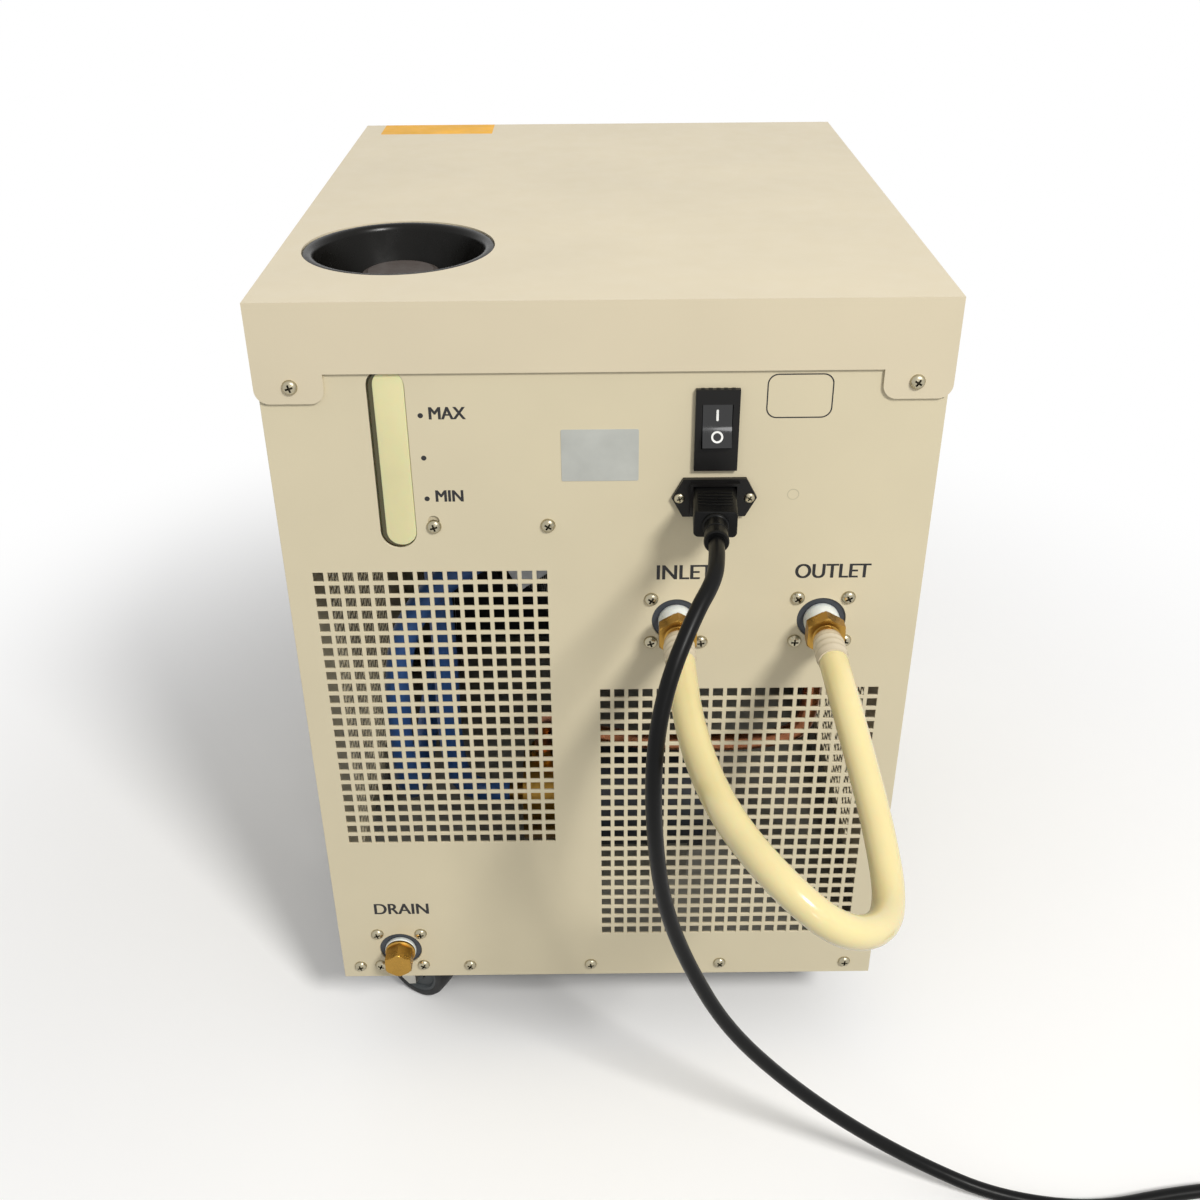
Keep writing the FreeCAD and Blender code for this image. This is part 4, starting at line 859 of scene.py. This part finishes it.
def make_fitting(name, x, z):
    """Sealing tape, hexagon and barbed tail of one hose port."""
    place = outward(x, z)
    wound = [
        (9.4, -1.4), (10.3, -1.4), (10.75, -0.6), (10.9, 2.0), (10.6, 5.0), (10.8, 8.2),
        (10.4, 10.9), (9.4, 10.9),
    ]
    keep(from_bmesh(f"{name}_tape", lathe_form(wound), place), "tape")
    nut = chamfered_hexagon(22.2, 11.0, 20.5)
    tail = [
        (5.0, -15.0), (9.3, -15.0), (9.3, 11.2), (8.6, 11.2), (8.6, 20.4), (6.9, 21.0), (6.5, 21.8),
        (6.5, 26.0),
    ]
    for ridge in range(3):
        start = 26.0 + 7.0 * ridge
        tail += [(7.7, start + 0.4), (7.7, start + 1.0), (6.3, start + 7.0)]
    tail.append((5.0, 47.0))
    body = from_bmesh(f"{name}_fitting", merged(nut, lathe_form(tail)), place)
    keep(body, "brass")
    sleeve = [(6.8, 24.4), (8.3, 24.4), (8.7, 25.0), (8.8, 28.0)]
    for ridge in (30.0, 35.5, 41.0):
        sleeve += [(8.8, ridge - 1.2), (9.35, ridge), (9.35, ridge + 1.0), (8.8, ridge + 2.2)]
    sleeve += [(8.7, 46.8), (6.8, 46.8)]
    keep(from_bmesh(f"{name}_hose_end", lathe_form(sleeve), place), "hose_end")
    return body


def make_ports():
    # the plates behind the port holes carry painted shade of their recess in their dark colour
    dress("dark", "port_plates")
    fittings = [make_fitting(name, *PORTS[name]) for name in ("inlet", "outlet")]
    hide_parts("hose_barbs")
    place = outward(*PORTS["drain"])
    wound = [(9.4, -1.4), (10.4, -1.4), (10.9, -0.4), (10.9, 1.4), (10.4, 2.0), (9.4, 2.0)]
    keep(from_bmesh("drain_tape", lathe_form(wound), place), "tape")
    collar = lathe_form([(0, -4), (9.3, -4), (9.3, 1.4), (10.5, 1.8), (10.6, 3.4), (9.6, 4.2), (0, 4.2)])
    head = chamfered_hexagon(17.9, 3.8, 16.4, 0.9)
    plug = from_bmesh("drain_cap", merged(collar, head), place)
    keep(plug, "brass", replaces=["drain_plug"])


# screws


def mesh_of(name, form):
    mesh = bpy.data.meshes.new(name)
    bmesh.ops.recalc_face_normals(form, faces=form.faces)
    form.to_mesh(mesh)
    form.free()
    return mesh


def cross_head(radius, thick):
    """A pan head screw with a shaded cross recess, as a mesh in millimetres."""
    dome = lathe_form(
        [(0, thick), (0.3 * radius, 0.985 * thick), (0.55 * radius, 0.92 * thick),
         (0.78 * radius, 0.74 * thick), (0.93 * radius, 0.46 * thick), (radius, 0.16 * thick),
         (radius, 0), (0, 0)], 32,
    )
    long = 0.52 * radius
    thin = 0.13 * radius
    floor = 0.34 * thick
    recess = merged(
        box_form((-long, long), (-thin, thin), (floor, 2 * thick)),
        box_form((-thin, thin), (-long, long), (floor, 2 * thick)),
    )
    head = bpy.data.objects.new("head", mesh_of("head", dome))
    tool = bpy.data.objects.new("recess", mesh_of("recess", recess))
    for obj in (head, tool):
        bpy.context.scene.collection.objects.link(obj)
    cut = head.modifiers.new("cut", "BOOLEAN")
    cut.object = tool
    cut.operation = "DIFFERENCE"
    cut.use_self = True
    graph = bpy.context.evaluated_depsgraph_get()
    shaped = bpy.data.meshes.new_from_object(head.evaluated_get(graph))
    bpy.data.objects.remove(head)
    bpy.data.objects.remove(tool)
    for name in ("screw", "recess"):
        shaped.materials.append(M[name])
    for face in shaped.polygons:
        x, y, z = face.center
        face.material_index = int(math.hypot(x, y) < 1.1 * long and 0.1 * thick < z < 0.8 * thick)
    return shaped


def screw_group(name, mesh, places, level, node):
    forms = []
    for number, (x, z) in enumerate(places):
        form = bmesh.new()
        form.from_mesh(mesh)
        bmesh.ops.rotate(form, verts=form.verts, matrix=Matrix.Rotation(0.7 * number + 0.3, 3, "Z"))
        forms.append(moved(form, x, z, 0))
    obj = from_bmesh(name, merged(*forms), outward(0, 0, level), 30)
    for kind in ("screw", "recess"):
        obj.data.materials.append(M[kind])
    keep(obj, "screw", replaces=[node])


LID_SCREWS = ((-170.8, 452.4), (170.8, 452.4))
FOOT_ROW_SHARES = (-0.935, -0.519, -0.061, 0.428, 0.902)
FOOT_ROW_Z = 10.6
BRACKET_SCREWS = ((-98.7, 365.5), (-32.7, 365.5))
PORT_SCREW_PITCH = 30.5
POWER_SCREW_PITCH = 40
LID_FACE = -1.9
POWER_FACE = -3.0


def make_screws():
    wide = cross_head(4.3, 2.8)
    small = cross_head(3.1, 1.5)
    screw_group("lid_screws", wide, LID_SCREWS, LID_FACE, "cover_screws")
    row = [(share * PANEL_WIDTH / 2, FOOT_ROW_Z) for share in FOOT_ROW_SHARES]
    screw_group("foot_screws", wide, row, 0, "panel_screws")
    screw_group("tank_screws", wide, BRACKET_SCREWS, 0, "bracket_screws")
    half = PORT_SCREW_PITCH / 2
    square = [(x + i * half, z + k * half) for x, z in PORTS.values() for i in (-1, 1) for k in (-1, 1)]
    screw_group("plate_screws", wide, square, 0, "port_screws")
    power = [(POWER[0] + side * POWER_SCREW_PITCH / 2, POWER[1]) for side in (-1, 1)]
    screw_group("inlet_screws", small, power, POWER_FACE, "power_inlet_screws")


# breaker, power inlet and plugs

ROCKER_TILT = math.radians(-12)
ROCKER_REACH = 12.2
ROCKER_FACE = math.atan2(1.4, ROCKER_REACH)


ROCKER_MARK = 6.1


def rocker_face(height):
    """How far the hollow face of the rocker stands out at one height above its middle."""
    return -3.2 - 1.4 * (abs(height) / ROCKER_REACH) ** 1.6


def on_rocker(upper):
    """The middle of one half of the rocker's face."""
    side = 1 if upper else -1
    start = Matrix.Translation(at(BREAKER[0], 0, ROCKER_Z)) @ Matrix.Rotation(ROCKER_TILT, 4, "X")
    middle = Matrix.Translation((0, (rocker_face(ROCKER_MARK) - 0.06) * MM, side * ROCKER_MARK * MM))
    return start @ middle @ Matrix.Rotation(math.radians(90) + side * ROCKER_FACE, 4, "X")


def make_rocker():
    """The key of the breaker with its hollow face and its two marks."""
    steps = [ROCKER_REACH * step / 12 for step in range(-12, 13)]
    outline = [(rocker_face(height), height) for height in steps]
    outline += [(-2.6, 12.5), (0.0, 12.5), (3.0, 9.0), (3.0, -9.0), (0.0, -12.5), (-2.6, -12.5)]
    lying = Matrix(((0, 0, 1), (1, 0, 0), (0, 1, 0))).to_4x4()
    start = Matrix.Translation(at(BREAKER[0], 0, ROCKER_Z)) @ Matrix.Rotation(ROCKER_TILT, 4, "X")
    form = prism_form(outline, -8.15, 8.15)
    keep(from_bmesh("rocker_key", form, start @ lying, 40), "gloss", "rocker", replaces=["breaker_rocker"])
    bar = prism_form(slot_outline(0, -3.3, 3.3, 1.3, 8), 0, 0.1)
    keep(from_bmesh("mark_on", bar, on_rocker(True)), "white", "rocker")
    ring = lathe_form([(2.25, 0), (3.35, 0), (3.35, 0.1), (2.25, 0.1)], 40)
    keep(from_bmesh("mark_off", ring, on_rocker(False)), "white", "rocker")


def make_breaker():
    dress("black", "breaker_housing", "power_inlet")
    soften(0.45, "breaker_housing", "power_inlet")
    make_rocker()
    row = [4.2 * step for step in range(-2, 3)]
    bumps = [box_form((x - 1.3, x + 1.3), (23.2, 24.6), (0, 2.2), 0.4) for x in row]
    keep(from_bmesh("bezel_bumps", merged(*bumps), outward(*BREAKER)), "black")


def plug_outline(width, height, radius=3.0):
    return rounded_rectangle(0, 0, width, height, radius)


def boot_form(start, length, wide, narrow, ribs=5):
    """A tapered strain relief with grooves round it."""
    profile = [(0, start)]
    step = length / (2 * ribs + 1)
    for index in range(2 * ribs + 1):
        share = index / (2 * ribs)
        radius = wide + (narrow - wide) * share
        groove = 0.55 if index % 2 else 0.0
        low = start + index * step
        profile += [(radius - groove, low + 0.12 * step), (radius - groove, low + 0.88 * step)]
    profile.append((0, start + length))
    return lathe_form(profile, 48)


def make_appliance_plug():
    """The plug in the power inlet, which stands a little to the left under the pull of its cord."""
    shell = loft_form([
        (-9.8, plug_outline(23.4, 15.6, 2.0)), (4.0, plug_outline(23.6, 15.8, 2.0)),
        (5.0, plug_outline(24.2, 16.2, 2.4)), (34.6, plug_outline(24.2, 16.2, 2.6)),
        (35.6, plug_outline(23.6, 15.6, 2.6)), (36.0, plug_outline(22.4, 14.4, 2.6)),
    ])
    grips = []
    for step in range(5):
        low = 12.0 + 3.6 * step
        grips.append(box_form((-9.6, 9.6), (7.7, 8.55), (low, low + 1.2), 0.3))
        grips.append(box_form((-9.6, 9.6), (-8.55, -7.7), (low, low + 1.2), 0.3))
    boot = lathe_form([
        (0, 35.4), (7.3, 35.4), (7.5, 36.0), (7.5, 37.4), (7.1, 38.0), (6.6, 38.4), (6.6, 46.4),
        (6.2, 46.6), (6.2, 47.6), (6.6, 47.8), (6.6, 53.8), (6.9, 54.2), (6.9, 56.0), (6.3, 56.9),
        (0, 56.9),
    ], 48)
    turn = Matrix.Rotation(-math.atan2(POWER[0] - BOOT_TIP[0], -BOOT_TIP[1]), 4, "Y")
    whole = from_bmesh("iec_plug", merged(shell, boot, *grips), outward(*POWER) @ turn)
    return keep(whole, "cord", replaces=["appliance_plug"])


def make_mains_plug():
    """The plug at the far end, which lies on the floor beside the coil."""
    low, high = (Vector(corner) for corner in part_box("mains_plug"))
    middle = (low + high) / 2
    lying = Matrix.Rotation(math.radians(-90), 4, "X")
    place = Matrix.Translation((middle.x, low.y, low.z + 0.011)) @ lying
    boot = boot_form(0, 24.0, 5.6, 6.8)
    shell = loft_form([
        (23.0, plug_outline(14.0, 13.6, 5.0)), (27.0, plug_outline(20.0, 18.0, 6.0)),
        (36.0, plug_outline(24.4, 21.4, 6.0)), (48.0, plug_outline(24.6, 21.8, 5.0)),
        (52.0, plug_outline(24.2, 21.6, 4.0)),
    ])
    body = from_bmesh("wall_plug", merged(boot, shell), place)
    keep(body, "cord", replaces=["mains_plug"])
    blades = [box_form((x - 0.75, x + 0.75), (-5.1, 1.1), (51.5, 69.4), 0.3) for x in (-6.35, 6.35)]
    pin = moved(lathe_form([(0, 51.5), (2.3, 51.5), (2.3, 68.0), (1.2, 69.3), (0, 69.4)], 24), 0, 7.0, 0)
    pins = keep(from_bmesh("wall_plug_blades", merged(*blades, pin), place), "brass")
    return body, pins


# casters

CASTER_HEADINGS = {"rear_left": -30, "rear_right": 90, "front_left": 60, "front_right": 115}
CASTER_TRAIL = 22.0
BOLT_PLACES = [(across, along) for across in (-19.0, 19.0) for along in (-24.0, 24.0)]
BOLT_FACE = -1.5


def make_casters():
    dress("zinc", "caster_plates")
    bolts = []
    for name, heading in CASTER_HEADINGS.items():
        fork = f"caster_fork_{name}"
        wheel = f"caster_wheel_{name}"
        dress("zinc", fork)
        soften(0.5, fork)
        low, high = (Vector(corner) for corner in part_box(wheel))
        turn = Matrix.Rotation(math.radians(heading), 4, "Z") @ Matrix.Rotation(math.radians(90), 4, "X")
        place = Matrix.Translation((low + high) / 2) @ turn
        tread = [
            (19.5, -9.6), (22.6, -10.0), (24.4, -9.2), (25.3, -7.0), (25.4, 0), (25.3, 7.0),
            (24.4, 9.2), (22.6, 10.0), (19.5, 9.6),
        ]
        tyre = from_bmesh(f"tyre_{name}", lathe_form(tread, 72), place)
        keep(tyre, "tyre", f"wheel_{name}", replaces=[wheel])
        disc = [
            (4.3, -9.9), (8.5, -9.9), (9.2, -8.0), (16.5, -7.2), (17.6, -9.0), (19.7, -9.4),
            (19.7, 9.4), (17.6, 9.0), (16.5, 7.2), (9.2, 8.0), (8.5, 9.9), (4.3, 9.9),
        ]
        keep(from_bmesh(f"hub_{name}", lathe_form(disc, 64), place), "hub", f"wheel_{name}")
        ahead = Vector((math.cos(math.radians(heading)), math.sin(math.radians(heading)), 0))
        pivot = (low + high) / 2 - ahead * CASTER_TRAIL * MM
        for across, along in BOLT_PLACES:
            head = chamfered_hexagon(8.0, -3.0, 0.0, 0.5)
            y = (pivot.y - PANEL_LOW.y) / MM + along
            bolts.append(moved(head, pivot.x / MM + across, y, BOLT_FACE))
    keep(from_bmesh("caster_bolts", merged(*bolts), upright(0, 0, 0)), "zinc")


# pump, radiator, fan and the hoses inside

SUCTION_POINTS = (
    (-118.0, 130.0, 343.5),
    (-118.0, 130.0, 270.0),
    (-116.0, 131.0, 190.0),
    (-118.0, 130.0, 112.0),
    (-110.0, 130.0, 62.0),
    (-74.0, 130.0, 62.0),
)

RETURN_POINTS = (
    (43.0, 17.5, 299.8),
    (43.0, 43.5, 299.8),
    (-20.0, 74.0, 321.8),
    (-84.0, 76.0, 305.8),
    (-134.0, 76.0, 257.8),
    (-146.0, 78.0, 190.0),
    (-147.0, 84.0, 120.0),
    (-147.0, 118.0, 72.0),
    (-147.0, 190.0, 61.0),
    (-150.0, 300.0, 61.0),
    (-150.0, 385.0, 61.0),
)

PIPE_POINTS = (
    (-47.0, 130.0, 108.0),
    (-47.0, 130.0, 144.0),
    (-7.0, 80.0, 150.0),
    (130.8, 74.0, 150.0),
    (146.8, 72.0, 185.0),
    (130.8, 57.5, 299.8),
    (130.8, 17.5, 299.8),
)


def make_inner_hoses():
    for name, points, radius, material, node in (
        ("suction_line", SUCTION_POINTS, 9.0, "blue", "suction_hose"),
        ("return_line", RETURN_POINTS, 9.0, "blue", "return_hose"),
        ("outlet_line", PIPE_POINTS, 6.35, "copper", "outlet_pipe"),
    ):
        run(name, [at(*point) for point in points], radius, material, replaces=[node])


def make_inside():
    dress("fins", "radiator_core")
    dress("steel_black", "radiator_header_left", "radiator_header_right", "fan_shroud", "fan_motor")
    dress("aluminium", "fan_rotor")
    dress("zinc", "fan_bracket", "pump_foot")
    dress("motor", "pump_motor")
    dress("brass", "pump_head")
    soften(0.8, "pump_motor", "pump_head", "fan_motor")
    make_inner_hoses()


# printing and labels


LEVEL_MARKS_X = -101.4
LEVEL_MARKS = (434.4, 408.8, 383.3)


def make_print():
    """The plain words on the panel and the three dots of the level scale."""
    lettering("word_inlet", "INLET", 30.7, 64.4, 328.6, 338.2)
    lettering("word_outlet", "OUTLET", 112.7, 157.6, 328.6, 338.2)
    lettering("word_drain", "DRAIN", -162.0, -124.0, 60.8, 70.4)
    lettering("word_max", "MAX", -96.8, -76.3, 432.1, 439.4)
    lettering("word_min", "MIN", -96.5, -80.5, 381.4, 388.6)
    dots = []
    for z in LEVEL_MARKS:
        dot = lathe_form([(0, 0), (1.5, 0), (1.5, 0.08), (0, 0.08)], 32)
        dots.append(moved(dot, LEVEL_MARKS_X, z, 0))
    keep(from_bmesh("level_dots", merged(*dots), outward(0, 0)), "print")


def make_labels():
    """The bare labels, a rounded frame round a bare patch, and a faint ring in the paint."""
    low = LID_TOP - 0.02
    sticker = box_form((-175.0, -85.5), (425.0, 460.6), (low, LID_TOP + 0.12))
    keep(from_bmesh("lid_label", sticker, upright(0, 0, 0)), "yellow")
    plate = prism_form(rounded_rectangle(-2.4, 409.5, 43.6, 31.6, 1.0), 0, 0.25)
    keep(from_bmesh("metal_plate", plate, outward(0, 0)), "plate")
    spot = lathe_form([(2.9, 0), (3.5, 0), (3.5, 0.06), (2.9, 0.06)], 40)
    keep(from_bmesh("paint_ring", spot, outward(108.0, 384.0)), "mark")
    loops = [
        rounded_rectangle(107.7, 444.0, 36.5, 26.0, 6.0),
        rounded_rectangle(107.7, 444.0, 35.1, 24.6, 5.4),
    ]
    keep(cut_sheet("plain_frame", loops, 0.1, outward(0, 0, -0.05), 0.01), "print")


make_camera()
make_light()
make_floor()
make_case()
make_well()
make_tank()
make_ports()
make_screws()
make_breaker()
make_casters()
make_inside()
make_print()
make_labels()
make_hose()
make_cord()
